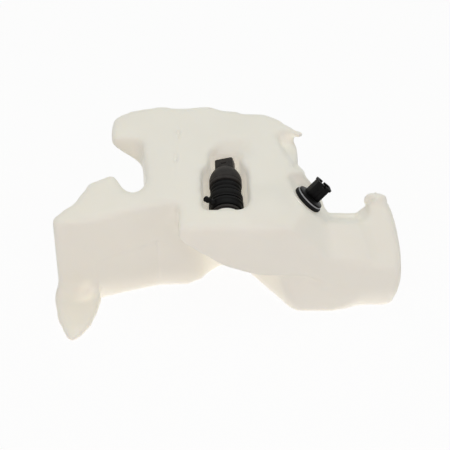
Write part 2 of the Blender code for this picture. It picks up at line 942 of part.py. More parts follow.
def pump_housing(axis, low):
    """The lower housing: impeller chamber, seal seat and outlet barb."""
    bottom = low + SEAT_GAP
    outline = [
        (SHAFT_RADIUS + RUNNING_GAP, HOUSING_TOP - 4),
        (BUSH_RADIUS + 0.5, HOUSING_TOP - 4),
        (BUSH_RADIUS + 0.5, HOUSING_TOP),
        (HOUSING_RADIUS - 1, HOUSING_TOP),
        (HOUSING_RADIUS, HOUSING_TOP - 1),
        (HOUSING_RADIUS, 13.5),
        (HOUSING_RADIUS - 1.2, 12.8),
        (HOUSING_RADIUS - 1.2, 9.6),
        (HOUSING_RADIUS - 2, bottom),
        (CHAMBER_RADIUS, bottom),
        (CHAMBER_RADIUS, CHAMBER_TOP),
        (SHAFT_RADIUS + RUNNING_GAP, CHAMBER_TOP),
    ]
    housing = turned("pump_housing", outline)
    way = outlet_place()
    start = HOUSING_RADIUS - 4
    add(
        housing,
        cylinder("boss", OUTLET_RADIUS + 1.4, start, HOUSING_RADIUS + 2, way, segments=FINE_SEGMENTS),
        cylinder("stem", OUTLET_RADIUS, start, OUTLET_REACH, way, segments=FINE_SEGMENTS),
        cylinder("barb", OUTLET_RADIUS + 0.9, OUTLET_REACH - 5, OUTLET_REACH - 0.6, way, OUTLET_RADIUS - 0.3,
                 segments=FINE_SEGMENTS),
    )
    start = CHAMBER_RADIUS - 2
    cut(housing, cylinder("passage", OUTLET_BORE, start, OUTLET_REACH + 2, way, segments=FINE_SEGMENTS))
    finish(housing, "pump_housing", BLACK_PLASTIC, axis)
    return bottom


def impeller(rotor, low):
    """A hub and disc with curved blades, on the shaft."""
    bottom = low + 0.8
    top = CHAMBER_TOP - 0.8
    bore = SHAFT_RADIUS + SEAT_GAP
    wheel = turned("impeller", [
        (bore, top),
        (3.0, top),
        (3.4, bottom + 2.2),
        (IMPELLER_RADIUS, bottom + 1.2),
        (IMPELLER_RADIUS, bottom),
        (bore, bottom),
    ])
    for step in range(IMPELLER_BLADES):
        angle = 2 * math.pi * step / IMPELLER_BLADES
        blade = outline_block("blade", blade_outline(), bottom + 0.6, top - 0.4)
        turn_about_z(blade, angle)
        add(wheel, blade)
    finish(wheel, "impeller", PALE_PLASTIC, rotor)


def blade_outline():
    """A backward-curved vane from the hub to the wheel's rim."""
    steps = 4
    inner, outer, sweep, half = 2.8, IMPELLER_RADIUS - 0.4, math.radians(35), 0.45
    line = []
    for step in range(steps + 1):
        share = step / steps
        radius = inner + (outer - inner) * share
        angle = sweep * share * share
        line.append(Vector((radius * math.cos(angle), radius * math.sin(angle))))
    left = [point + Vector((0, half)) for point in line]
    right = [point - Vector((0, half)) for point in line]
    return [tuple(point) for point in right + left[::-1]]


def shaft_seal(axis):
    """The rubber ring round the shaft, in the top of the lower housing."""
    low = HOUSING_TOP - 4 + SEAT_GAP
    outline = ring(SHAFT_RADIUS + SEAT_GAP, BUSH_RADIUS + 0.2, low, HOUSING_TOP - SEAT_GAP)
    finish(turned("shaft_seal", outline, FINE_SEGMENTS), "shaft_seal", RUBBER, axis)


def motor_can(axis):
    """The motor's steel case, with the hole that centres the lower bush."""
    low = HOUSING_TOP + SEAT_GAP
    inner = CAN_RADIUS - CAN_WALL
    hole = BUSH_RADIUS + SEAT_GAP
    outline = [
        (inner, CAN_TOP),
        (CAN_RADIUS, CAN_TOP),
        (CAN_RADIUS, low),
        (hole, low),
        (hole, low + CAN_WALL),
        (inner, low + CAN_WALL),
    ]
    finish(turned("motor_can", outline), "motor_can", STEEL, axis)


def lower_bush(axis):
    """The sintered bush that carries the shaft at the can's lower end."""
    low = HOUSING_TOP + SEAT_GAP
    bush = ring(SHAFT_RADIUS + 0.1, BUSH_RADIUS, low, CORE_LOW - COIL_HEAD - RUNNING_GAP)
    finish(turned("lower_bush", bush, FINE_SEGMENTS), "lower_bush", BRONZE, axis)


def magnets(axis):
    """Two ferrite shells inside the can."""
    outer = CAN_RADIUS - CAN_WALL - SEAT_GAP
    for name, turn in (("magnet_left", 0), ("magnet_right", math.pi)):
        shell = turned(name, ring(outer - MAGNET_THICKNESS, outer, CORE_LOW - 2, CORE_HIGH + 2))
        keep = outline_block("keep", [(2, -18), (2, 18), (20, 18), (20, -18)], CORE_LOW - 8, CORE_HIGH + 8)
        combine(shell, keep, "INTERSECT")
        turn_about_z(shell, turn)
        finish(shell, name, FERRITE, axis)


def core_outline(grow):
    """The armature's three-pole section, grown by a clearance."""
    outline = []
    for pole in range(3):
        middle = math.radians(120 * pole)
        half_tip = math.radians(44)
        neck = 1.6 + grow
        root = 2.9 + grow
        tip = CORE_RADIUS - 1.8 - grow
        for radius, angle in (
            (root, middle - math.asin(neck / root)),
            (tip, middle - math.asin(neck / tip)),
            (tip, middle - half_tip - grow / CORE_RADIUS),
            (CORE_RADIUS + grow, middle - half_tip - grow / CORE_RADIUS),
            (CORE_RADIUS + grow, middle - half_tip / 3),
            (CORE_RADIUS + grow, middle + half_tip / 3),
            (CORE_RADIUS + grow, middle + half_tip + grow / CORE_RADIUS),
            (tip, middle + half_tip + grow / CORE_RADIUS),
            (tip, middle + math.asin(neck / tip)),
            (root, middle + math.asin(neck / root)),
        ):
            outline.append((radius * math.cos(angle), radius * math.sin(angle)))
    return outline


def armature(rotor):
    """Laminated core, its windings and the commutator."""
    bore = SHAFT_RADIUS + SEAT_GAP
    core = outline_block("armature_core", core_outline(0), CORE_LOW, CORE_HIGH)
    cut(core, cylinder("bore", bore, CORE_LOW - 2, CORE_HIGH + 2, Matrix(), segments=FINE_SEGMENTS))
    finish(core, "armature_core", STEEL, rotor)
    low, high = CORE_LOW - COIL_HEAD, CORE_HIGH + COIL_HEAD
    coils = turned("armature_winding", ring(bore + 1.5, COIL_RADIUS - 1.2, low, high))
    room = outline_block("room", core_outline(SEAT_GAP), CORE_LOW - SEAT_GAP, CORE_HIGH + SEAT_GAP)
    cut(coils, room)
    finish(coils, "armature_winding", COPPER, rotor)
    bars = ring(bore, COMMUTATOR_RADIUS, COMMUTATOR_LOW, COMMUTATOR_HIGH)
    commutator = turned("commutator", bars, FINE_SEGMENTS)
    for pole in range(3):
        slot = box("slot", (3, 0.5, COMMUTATOR_HIGH), (COMMUTATOR_RADIUS + 1.1, 0, COMMUTATOR_HIGH))
        turn_about_z(slot, math.radians(120 * pole))
        cut(commutator, slot)
    finish(commutator, "commutator", COPPER, rotor)


def motor_shaft(rotor):
    outline = [
        (0, SHAFT_TOP),
        (SHAFT_RADIUS - 0.3, SHAFT_TOP),
        (SHAFT_RADIUS, SHAFT_TOP - 0.4),
        (SHAFT_RADIUS, 9.5),
        (SHAFT_RADIUS - 0.3, 9),
        (0, 9),
    ]
    finish(turned("motor_shaft", outline, FINE_SEGMENTS), "motor_shaft", STEEL, rotor)


def brush_gear(axis):
    """The end ring that closes the can and holds the two carbon brushes on the commutator."""
    low = CAN_TOP + SEAT_GAP
    holder = turned("brush_holder", ring(5.2, CAN_RADIUS - SEAT_GAP, low, HOLDER_HIGH))
    height = (low + HOLDER_HIGH) / 2
    for name, side in (("brush_left", 1), ("brush_right", -1)):
        start = COMMUTATOR_RADIUS + 0.1
        end = 9.5
        middle = side * (start + end) / 2
        cut(holder, box("channel", (end - start + 2 * SEAT_GAP, 3.0, 2.4), (middle, 0, height)))
        brush = box(name, (end - start, 2.4, 1.8), (middle, 0, height))
        finish(brush, name, CARBON, axis)
    finish(holder, "brush_holder", BLACK_PLASTIC, axis)


def upper_bush(axis):
    """The sintered bush in the cap that carries the shaft's upper end."""
    low = HOLDER_HIGH + 2 * SEAT_GAP
    outline = ring(SHAFT_RADIUS + 0.1, BUSH_RADIUS, low, low + BUSH_LENGTH)
    finish(turned("upper_bush", outline, FINE_SEGMENTS), "upper_bush", BRONZE, axis)


def pump_sleeve(axis):
    """The ribbed rubber sleeve round the motor."""
    inner = CAN_RADIUS + SEAT_GAP
    high = CAP_LOW - SEAT_GAP
    low = HOUSING_TOP + SEAT_GAP
    groove = SLEEVE_RADIUS - SLEEVE_GROOVE
    shares = [
        (groove, 1.0),
        (groove, 0.89),
        (SLEEVE_RADIUS, 0.84),
        (SLEEVE_RADIUS, 0.69),
        (groove, 0.64),
        (groove, 0.60),
        (SLEEVE_RADIUS, 0.55),
        (SLEEVE_RADIUS, 0.43),
        (groove, 0.39),
        (SLEEVE_FOOT_RADIUS - 1, 0.35),
        (SLEEVE_FOOT_RADIUS, 0.29),
        (SLEEVE_FOOT_RADIUS, 0.10),
        (SLEEVE_FOOT_RADIUS - 1.4, 0.0),
    ]
    ribs = [(radius, low + share * (high - low)) for radius, share in shares]
    outline = [(inner, high)] + ribs + [(inner, low)]
    finish(turned("pump_sleeve", outline), "pump_sleeve", RUBBER, axis)


def cap_outline(bush_top):
    """The cap's section: its dome outside, and the rooms for the can and the upper bush inside."""
    inner = CAN_RADIUS + SEAT_GAP
    ceiling = HOLDER_HIGH + SEAT_GAP
    dome = CAP_NECK - CAP_SHOULDER
    return [
        (0, CAP_NECK),
        (CAP_NECK_RADIUS, CAP_NECK),
        (CAP_RADIUS - 5, CAP_SHOULDER + 0.8 * dome),
        (CAP_RADIUS - 2, CAP_SHOULDER + 0.45 * dome),
        (CAP_RADIUS - 0.4, CAP_SHOULDER + 0.22 * dome),
        (CAP_RADIUS, CAP_SHOULDER),
        (CAP_RADIUS, CAP_LOW),
        (inner, CAP_LOW),
        (inner, ceiling),
        (BUSH_RADIUS + SEAT_GAP, ceiling),
        (BUSH_RADIUS + SEAT_GAP, bush_top),
        (0, bush_top),
    ]


def pump_cap(axis):
    """The upper housing: a domed cap that ends in the connector shroud, and its two blades."""
    bush_top = HOLDER_HIGH + BUSH_LENGTH + 3 * SEAT_GAP
    cap = turned("pump_cap", cap_outline(bush_top))
    shroud = rounded_box("shroud", SHROUD_WIDTH, SHROUD_DEPTH, CAP_NECK - 5.5, PUMP_LENGTH, 2.2)
    width = SHROUD_WIDTH - 2 * SHROUD_WALL
    depth = SHROUD_DEPTH - 2 * SHROUD_WALL
    socket = rounded_box("socket", width, depth, SHROUD_FLOOR, PUMP_LENGTH + 5, 1.0)
    window = box("window", (5.5, 6, 2.4), (0, SHROUD_DEPTH / 2, PUMP_LENGTH - 7))
    for tool in (shroud, socket, window):
        turn_about_z(tool, -SHROUD_ROLL)
    add(cap, shroud)
    cut(cap, socket, window)
    low = bush_top + 2.5
    high = PUMP_LENGTH - 4
    for name, side in (("pump_terminal_left", 1), ("pump_terminal_right", -1)):
        middle = side * BLADE_PITCH / 2
        room = (BLADE_THICKNESS + 2 * SEAT_GAP, BLADE_WIDTH + 2 * SEAT_GAP, 40)
        slot = box("slot", room, (middle, 0, low + 20))
        cut(cap, turn_about_z(slot, -SHROUD_ROLL))
        size = (BLADE_THICKNESS, BLADE_WIDTH, high - low - SEAT_GAP)
        blade = box(name, size, (middle, 0, (high + low + SEAT_GAP) / 2))
        finish(turn_about_z(blade, -SHROUD_ROLL), name, BRASS, axis)
    finish(cap, "pump_cap", DARK_PLASTIC, axis)


def build_pump():
    axis = carrier("pump_axis", pump_place())
    rotor = carrier("rotor_axis", Matrix(), axis)
    pump_grommet(axis)
    cover_top = inlet_cover(axis)
    inlet_strainer(axis)
    chamber_low = pump_housing(axis, cover_top)
    impeller(rotor, chamber_low)
    shaft_seal(axis)
    motor_can(axis)
    lower_bush(axis)
    magnets(axis)
    armature(rotor)
    motor_shaft(rotor)
    brush_gear(axis)
    upper_bush(axis)
    pump_sleeve(axis)
    pump_cap(axis)


# Level sensor pieces, in the sensor's own frame

def sensor_grommet(axis):
    face = SEAT_GAP
    under = -SEAT_PAD - SEAT_GAP
    inner = SENSOR_PLUG + SEAT_GAP
    neck = SENSOR_HOLE - SEAT_GAP
    high = face + SENSOR_FLANGE_THICKNESS
    outline = [
        (inner, high),
        (SENSOR_FLANGE - 1.2, high),
        (SENSOR_FLANGE, high - 1.2),
        (SENSOR_FLANGE, face + 1),
        (SENSOR_FLANGE - 1, face),
        (neck, face),
        (neck, under),
        (SENSOR_LIP, under),
        (SENSOR_LIP, under - 1),
        (SENSOR_HOLE - 1.5, under - 4),
        (inner, under - 4),
    ]
    finish(turned("sensor_grommet", outline), "sensor_grommet", RUBBER, axis)
    return high


def sensor_ring(axis, grommet_top):
    """The pale washer between the grommet and the sensor's flange."""
    low = grommet_top + SEAT_GAP
    high = low + SENSOR_RING_THICKNESS
    outline = ring(SENSOR_PLUG + SEAT_GAP, SENSOR_FLANGE - 1.4, low, high)
    finish(turned("sensor_ring", outline), "sensor_ring", GREY_PLASTIC, axis)
    return high


def sensor_body(axis, ring_top):
    """Flange, plug, connector shroud and the stem that ends in the float's fork."""
    bottom = ring_top + SEAT_GAP
    top = bottom + SENSOR_DISC_THICKNESS
    body = turned("sensor_body", [
        (0, top),
        (SENSOR_DISC - 0.8, top),
        (SENSOR_DISC, top - 0.8),
        (SENSOR_DISC, bottom),
        (SENSOR_PLUG, bottom),
        (SENSOR_PLUG, -SENSOR_PLUG_REACH),
        (0, -SENSOR_PLUG_REACH),
    ])
    fork_low = -HINGE_DROP - 3.4
    width, depth = SENSOR_SHROUD_WIDTH, SENSOR_SHROUD_DEPTH
    add(
        body,
        rounded_box("shroud", width, depth, top - 1, SENSOR_TOP, 1.6),
        rounded_box("rim", width + 1.6, depth + 1.6, SENSOR_TOP - 2.5, SENSOR_TOP, 1.8),
        rounded_box("stem", STEM_WIDTH, STEM_DEPTH, fork_low, 1 - SENSOR_PLUG_REACH, 1.2),
    )
    inner_width = width - 2 * SHROUD_WALL
    inner_depth = depth - 2 * SHROUD_WALL
    gap = TONGUE_THICKNESS + 2 * SEAT_GAP
    reed = REED_RADIUS + SEAT_GAP
    cut(
        body,
        rounded_box("socket", inner_width, inner_depth, top + 4, SENSOR_TOP + 5, 0.8),
        box("notch", (3.0, depth + 5, 6), (0, 0, SENSOR_TOP)),
        box("fork_gap", (gap, STEM_DEPTH + 5, 8.5), (0, 0, fork_low + 3.5)),
        cylinder("reed_bore", reed, 2 - HINGE_DROP, 29 - HINGE_DROP, Matrix(), segments=12),
        pin_bar("pin_bore", HINGE_PIN_RADIUS + 0.1, STEM_WIDTH + 4),
    )
    sensor_terminals(axis, body, top)
    finish(body, "sensor_body", BLACK_PLASTIC, axis)


def sensor_terminals(axis, body, top):
    """The two contact blades in the connector, each in a slot of its floor."""
    low = top - 1 + SEAT_GAP
    high = SENSOR_TOP - 4
    for name, side in (("sensor_terminal_left", 1), ("sensor_terminal_right", -1)):
        middle = side * BLADE_PITCH / 2
        room = (BLADE_WIDTH + 2 * SEAT_GAP, BLADE_THICKNESS + 2 * SEAT_GAP, 20)
        cut(body, box("slot", room, (middle, 0, top + 9)))
        blade = box(name, (BLADE_WIDTH, BLADE_THICKNESS, high - low), (middle, 0, (low + high) / 2))
        finish(blade, name, BRASS, axis)


def pin_bar(name, radius, length):
    """A round bar across the fork, along the hinge."""
    place = frame_along((0, 0, -HINGE_DROP), Vector((1, 0, 0)), Vector((0, 1, 0)))
    return cylinder(name, radius, -length / 2, length / 2, place, segments=12)


def reed_switch(axis):
    """The glass switch in the stem, which the float's magnet closes."""
    outline = [(0, 20), (0.8, 20), (REED_RADIUS, 18.5), (REED_RADIUS, 1.5), (0.8, 0), (0, 0)]
    reed = finish(turned("reed_switch", outline, 12), "reed_switch", GLASS, axis)
    reed.location = (0, 0, (8 + SEAT_GAP - HINGE_DROP) * MM)


def float_arm(hinge):
    """The float with the tongue that hinges in the fork, in the hinge's frame."""
    arm = turned("float_arm", [
        (0, -FLOAT_NEAR),
        (FLOAT_RADIUS - 2, -FLOAT_NEAR),
        (FLOAT_RADIUS, -FLOAT_NEAR - 2),
        (FLOAT_RADIUS, 2 - FLOAT_FAR),
        (FLOAT_RADIUS - 2, -FLOAT_FAR),
        (0, -FLOAT_FAR),
    ])
    root = -FLOAT_NEAR - 2
    outline = [(-2.4, root), (-2.4, 0), (-1.6, 1.8), (1.6, 1.8), (2.4, 0), (2.4, root)]
    half = TONGUE_THICKNESS / 2
    add(arm, outline_block("tongue", outline, -half, half, "X"))
    place = frame_along((0, 0, 0), Vector((1, 0, 0)), Vector((0, 1, 0)))
    cut(
        arm,
        cylinder("hole", HINGE_PIN_RADIUS + 0.15, -5, 5, place, segments=12),
        cylinder("magnet_bore", MAGNET_BORE, -FLOAT_FAR - 3, 11 - FLOAT_FAR, Matrix(), segments=12),
    )
    finish(arm, "float_arm", PALE_PLASTIC, hinge)


def float_magnet(hinge):
    """The magnet in the float's end, flush inside its bore."""
    radius = MAGNET_BORE - SEAT_GAP
    high = 10.5 - FLOAT_FAR
    low = 0.5 - FLOAT_FAR
    magnet = turned("float_magnet", [(0, high), (radius, high), (radius, low), (0, low)], 12)
    finish(magnet, "float_magnet", FERRITE, hinge)


def build_sensor():
    axis = carrier("sensor_axis", sensor_place())
    hinge = carrier("float_hinge", level(-HINGE_DROP), axis)
    grommet_top = sensor_grommet(axis)
    ring_top = sensor_ring(axis, grommet_top)
    sensor_body(axis, ring_top)
    finish(pin_bar("sensor_pin", HINGE_PIN_RADIUS, STEM_WIDTH - 0.6), "sensor_pin", STEEL, axis)
    reed_switch(axis)
    float_arm(hinge)
    float_magnet(hinge)


clear_scene()
PARTS = new_collection(OBJECT_NAME)
WORK = new_collection("work")

IVORY = material("ivory_polyethylene", (0.76, 0.73, 0.66), 0.42)
BLACK_PLASTIC = material("black_plastic", (0.012, 0.012, 0.013), 0.4)
DARK_PLASTIC = material("dark_plastic", (0.055, 0.05, 0.048), 0.5)
GREY_PLASTIC = material("grey_plastic", (0.45, 0.46, 0.47), 0.45)
PALE_PLASTIC = material("pale_plastic", (0.7, 0.7, 0.66), 0.5)
RUBBER = material("rubber", (0.01, 0.01, 0.01), 0.6)
STEEL = material("steel", (0.6, 0.6, 0.6), 0.35, 1.0)
BRONZE = material("bronze", (0.5, 0.33, 0.16), 0.45, 1.0)
COPPER = material("copper", (0.7, 0.36, 0.2), 0.35, 1.0)
BRASS = material("brass", (0.72, 0.55, 0.25), 0.3, 1.0)
FERRITE = material("ferrite", (0.05, 0.05, 0.055), 0.7)
CARBON = material("carbon", (0.02, 0.02, 0.02), 0.7)
GLASS = material("glass", (0.4, 0.5, 0.45), 0.1)


def main():
    build_tank()
    lug_bushes()
    build_pump()
    build_sensor()


if __name__ == "__main__":
    main()
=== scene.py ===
"""Washer fluid reservoir: its visible pieces and finishes, laid out as an add-on.

Each piece, or group of like pieces, has its operator. Shapes are given in millimetres, and MM
turns them to metres.
"""

import json
import math

import bpy
from bpy.props import FloatProperty, FloatVectorProperty, IntProperty, PointerProperty
from mathutils import Matrix, Vector

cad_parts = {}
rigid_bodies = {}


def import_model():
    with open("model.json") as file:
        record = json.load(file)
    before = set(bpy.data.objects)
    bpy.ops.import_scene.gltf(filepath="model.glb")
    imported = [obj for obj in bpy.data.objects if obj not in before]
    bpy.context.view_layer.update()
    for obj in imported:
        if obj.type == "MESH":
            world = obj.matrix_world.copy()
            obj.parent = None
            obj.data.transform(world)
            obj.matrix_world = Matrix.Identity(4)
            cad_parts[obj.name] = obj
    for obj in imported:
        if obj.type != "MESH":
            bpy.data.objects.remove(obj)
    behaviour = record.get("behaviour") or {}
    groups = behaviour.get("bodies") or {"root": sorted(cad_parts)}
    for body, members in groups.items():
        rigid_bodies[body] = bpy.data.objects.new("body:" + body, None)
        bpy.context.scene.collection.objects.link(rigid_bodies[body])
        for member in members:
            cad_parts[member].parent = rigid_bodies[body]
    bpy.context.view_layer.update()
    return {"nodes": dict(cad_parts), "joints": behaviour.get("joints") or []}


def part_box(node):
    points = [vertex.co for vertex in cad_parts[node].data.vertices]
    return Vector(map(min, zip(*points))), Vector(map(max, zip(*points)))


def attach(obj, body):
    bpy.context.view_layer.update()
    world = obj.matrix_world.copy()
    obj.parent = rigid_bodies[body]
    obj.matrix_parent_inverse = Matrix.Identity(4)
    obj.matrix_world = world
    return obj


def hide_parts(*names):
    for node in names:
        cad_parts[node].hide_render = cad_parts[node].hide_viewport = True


bl_info = {
    "name": "Washer Fluid Reservoir",
    "version": (1, 0, 0),
    "blender": (4, 5, 0),
    "location": "View3D > Sidebar > Reservoir",
    "description": "Models the reservoir's tank, pump and level sensor over its packed frame",
    "category": "Object",
}

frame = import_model()
NODES = frame["nodes"]
MM = 0.001


def axis_place(origin, axis, guide):
    """A local frame: its Z along the axis and its Y as near the guide as it can be."""
    z = Vector(axis).normalized()
    x = Vector(guide).cross(z).normalized()
    y = z.cross(x)
    return Matrix.Translation(Vector(origin)) @ Matrix((x, y, z)).transposed().to_4x4()


def joint(name):
    return next(j for j in frame["joints"] if j["name"] == name)


# Where the pump, the sensor and the filler neck sit on the tank: Z = 0 is each one's seat
UP = (0, 0, 1)
BACKWARDS = (0, 1, 0)
RIGHT = (1, 0, 0)
ROTOR_ABOVE_SEAT = 0.030
PUMP_AXIS = joint("rotor_spin")["axis"]
PUMP_SEAT = Vector(joint("rotor_spin")["pos_m"]) - Vector(PUMP_AXIS) * ROTOR_ABOVE_SEAT
PUMP_PLACE = axis_place(PUMP_SEAT, PUMP_AXIS, UP)
SENSOR_AXIS = (0.682, 0.146, 0.716)
SENSOR_PLACE = axis_place((0.085, -0.058, 0.1055), SENSOR_AXIS, BACKWARDS)
NECK_PLACE = axis_place((0.006, 0.067, 0.050), BACKWARDS, UP)


# Sizes and colours

class TankSettings(bpy.types.PropertyGroup):
    skin: FloatProperty(
        name="Skin detail", description="Edge length of the moulded skin's faces",
        default=0.0018, min=0.0015, max=0.006, unit="LENGTH")
    smoothing: IntProperty(
        name="Skin smoothing", description="How often the moulded skin is relaxed",
        default=9, min=0, max=60)
    colour: FloatVectorProperty(
        name="Tank colour", description="Milky polyethylene",
        default=(0.895, 0.873, 0.80), subtype="COLOR", size=3, min=0, max=1)
    roughness: FloatProperty(
        name="Tank roughness", description="Gloss of the moulded skin",
        default=0.42, min=0, max=1, subtype="FACTOR")
    neck_radius: FloatProperty(
        name="Neck radius", description="Outer radius of the filler neck",
        default=0.021, unit="LENGTH")
    neck_bore: FloatProperty(
        name="Neck bore", description="Inner radius of the filler neck",
        default=0.018, unit="LENGTH")
    neck_length: FloatProperty(
        name="Neck length", description="How far the filler neck stands out",
        default=0.020, unit="LENGTH")


class PumpSettings(bpy.types.PropertyGroup):
    cap_radius: FloatProperty(
        name="Cap radius", description="Radius of the pump's upper housing",
        default=0.018, unit="LENGTH")
    cap_colour: FloatVectorProperty(
        name="Cap colour", description="Dark grey plastic of the upper housing",
        default=(0.034, 0.031, 0.029), subtype="COLOR", size=3, min=0, max=1)
    sleeve_radius: FloatProperty(
        name="Sleeve radius", description="Radius over the sleeve's ribs",
        default=0.0172, unit="LENGTH")
    rubber_colour: FloatVectorProperty(
        name="Rubber colour", description="Black rubber",
        default=(0.007, 0.007, 0.007), subtype="COLOR", size=3, min=0, max=1)
    housing_radius: FloatProperty(
        name="Housing radius", description="Radius of the pump's lower housing",
        default=0.019, unit="LENGTH")


class SensorSettings(bpy.types.PropertyGroup):
    flange_radius: FloatProperty(
        name="Flange radius", description="Radius of the grommet's flange",
        default=0.0175, unit="LENGTH")
    plastic_colour: FloatVectorProperty(
        name="Plastic colour", description="Black plastic of the sensor",
        default=(0.005, 0.005, 0.005), subtype="COLOR", size=3, min=0, max=1)
    # Painted highlight: this pale grey, on the ring under the sensor's flange, stands for the shine
    # along the flange's rim
    rim_highlight_colour: FloatVectorProperty(
        name="Washer colour", description="Pale grey washer under the sensor's flange",
        default=(0.42, 0.43, 0.45), subtype="COLOR", size=3, min=0, max=1)


class StageSettings(bpy.types.PropertyGroup):
    camera_azimuth: FloatProperty(
        name="Camera azimuth", description="Turn of the camera about the tank",
        default=0.0, subtype="ANGLE")
    camera_elevation: FloatProperty(
        name="Camera elevation", description="Height of the camera above the horizon",
        default=math.radians(36.3), subtype="ANGLE")
    camera_distance: FloatProperty(
        name="Camera distance", description="From the camera to the point that it looks at",
        default=1.35, unit="LENGTH")
    lens: FloatProperty(
        name="Lens", description="Focal length in millimetres", default=98.18, unit="CAMERA")
    floor_colour: FloatVectorProperty(
        name="Floor colour", description="Pale studio floor",
        default=(0.93, 0.93, 0.93), subtype="COLOR", size=3, min=0, max=1)


# Hand tools

def deselect():
    if bpy.context.mode != "OBJECT":
        bpy.ops.object.mode_set(mode="OBJECT")
    bpy.ops.object.select_all(action="DESELECT")


def activate(obj):
    deselect()
    obj.select_set(True)
    bpy.context.view_layer.objects.active = obj


def edit_all(obj):
    activate(obj)
    bpy.ops.object.mode_set(mode="EDIT")
    bpy.ops.mesh.select_all(action="SELECT")


def pick(obj, faces=None, edges=None):
    """Selects the faces or edges that pass a test, and leaves the object in edit mode."""
    activate(obj)
    mesh = obj.data
    bpy.ops.object.mode_set(mode="EDIT")
    bpy.ops.mesh.select_mode(type="FACE" if faces else "EDGE")
    bpy.ops.mesh.select_all(action="DESELECT")
    bpy.ops.object.mode_set(mode="OBJECT")
    if faces:
        for face in mesh.polygons:
            face.select = bool(faces(face.center, face.normal))
    else:
        for edge in mesh.edges:
            a, b = (mesh.vertices[i].co for i in edge.vertices)
            edge.select = bool(edges(a, b))
    bpy.ops.object.mode_set(mode="EDIT")


def apply_modifier(obj, kind, **values):
    activate(obj)
    step = obj.modifiers.new(kind.lower(), kind)
    for key, value in values.items():
        setattr(step, key, value)
    bpy.ops.object.modifier_apply(modifier=step.name)


def soften_edges(obj, width, segments=2, angle=35):
    apply_modifier(
        obj, "BEVEL", width=width, segments=segments, limit_method="ANGLE",
        angle_limit=math.radians(angle), harden_normals=False, use_clamp_overlap=True)


def tidy_normals(obj):
    edit_all(obj)
    bpy.ops.mesh.remove_doubles(threshold=0.000005)
    bpy.ops.mesh.normals_make_consistent(inside=False)
    bpy.ops.object.mode_set(mode="OBJECT")


def carve(obj, tool, operation="DIFFERENCE", solver="EXACT"):
    """Cuts a tool out of a piece, or adds it, and takes the tool away."""
    apply_modifier(obj, "BOOLEAN", object=tool, operation=operation, solver=solver)
    bpy.data.objects.remove(tool)


def merge(obj, *others):
    deselect()
    for other in others:
        other.select_set(True)
    obj.select_set(True)
    bpy.context.view_layer.objects.active = obj
    bpy.ops.object.join()


def copy_of(obj):
    made = obj.copy()
    made.data = obj.data.copy()
    bpy.context.scene.collection.objects.link(made)
    return made


def turned(name, outline, vertices=96, bevel=0.0003):
    """A turned piece about Z: a circle extruded from ring to ring of an outline of (radius, height)."""
    deselect()
    closed = outline[0] == outline[-1]
    radius, height = outline[0]
    bpy.ops.mesh.primitive_circle_add(vertices=vertices, radius=radius * MM, fill_type="NOTHING")
    obj = bpy.context.object
    obj.name = name
    bpy.ops.object.mode_set(mode="EDIT")
    bpy.ops.mesh.select_mode(type="EDGE")
    bpy.ops.mesh.select_all(action="SELECT")
    bpy.ops.transform.translate(value=(0, 0, height * MM))
    for (r0, z0), (r1, z1) in zip(outline, outline[1:]):
        bpy.ops.mesh.extrude_region_move(TRANSFORM_OT_translate={"value": (0, 0, (z1 - z0) * MM)})
        if r0 != r1:
            bpy.ops.transform.resize(value=(r1 / r0, r1 / r0, 1), center_override=(0, 0, z1 * MM))
    bpy.ops.mesh.select_all(action="SELECT")
    bpy.ops.mesh.remove_doubles(threshold=0.000005)
    if not closed:
        bpy.ops.mesh.fill_holes(sides=0)
    bpy.ops.mesh.select_all(action="SELECT")
    bpy.ops.mesh.normals_make_consistent(inside=False)
    bpy.ops.object.mode_set(mode="OBJECT")
    if bevel:
        soften_edges(obj, bevel)
    return obj


def rod(name, radius, low, high, place, vertices=64):
    """A round bar along Z from low to high, set at its place."""
    deselect()
    bpy.ops.mesh.primitive_cone_add(
        vertices=vertices, radius1=radius * MM, radius2=radius * MM, depth=(high - low) * MM,
        location=(0, 0, (low + high) / 2 * MM))
    obj = bpy.context.object
    obj.name = name
    settle(obj, place)
    return obj


def block(name, size, centre):
    """A box of a size at a centre."""
    deselect()
    bpy.ops.mesh.primitive_cube_add(
        size=1, location=[c * MM for c in centre], scale=[s * MM for s in size])
    obj = bpy.context.object
    obj.name = name
    settle(obj, Matrix())
    return obj


def rounded_block(name, size, centre, corner, segments=5):
    """A box whose upright edges are rounded."""
    obj = block(name, size, centre)
    pick(obj, edges=lambda a, b: abs(a.x - b.x) < 1e-6 and abs(a.y - b.y) < 1e-6)
    bpy.ops.mesh.bevel(offset=corner * MM, segments=segments, affect="EDGES")
    bpy.ops.object.mode_set(mode="OBJECT")
    return obj


def settle(obj, place):
    """Moves a piece to its place and leaves its object at the origin, unturned and unscaled."""
    obj.matrix_world = place @ obj.matrix_world
    activate(obj)
    bpy.ops.object.transform_apply(location=True, rotation=True, scale=True)


def complete(obj, name, finish, nodes, body="tank", smooth=32):
    """Names a piece, gives it its finish, and lets it stand for its CAD nodes."""
    obj.name = name
    obj.data.name = name
    obj.data.materials.clear()
    obj.data.materials.append(finish)
    for face in obj.data.polygons:
        face.material_index = 0
    activate(obj)
    bpy.ops.object.shade_smooth_by_angle(angle=math.radians(smooth))
    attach(obj, body)
    if nodes:
        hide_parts(*nodes)


# Finishes

def new_finish(name):
    """A finish with its shader and Object coordinates, or the finish alone where it exists."""
    made = bpy.data.materials.get(name)
    if made:
        return made, None, None, None
    made = bpy.data.materials.new(name)
    made.use_nodes = True
    tree = made.node_tree
    coordinates = tree.nodes.new("ShaderNodeTexCoord")
    return made, tree, tree.nodes["Principled BSDF"], coordinates.outputs["Object"]


def noise(tree, coordinates, scale, detail=3.0, roughness=0.5):
    node = tree.nodes.new("ShaderNodeTexNoise")
    node.inputs["Scale"].default_value = scale
    node.inputs["Detail"].default_value = detail
    node.inputs["Roughness"].default_value = roughness
    tree.links.new(coordinates, node.inputs["Vector"])
    return node.outputs["Fac"]


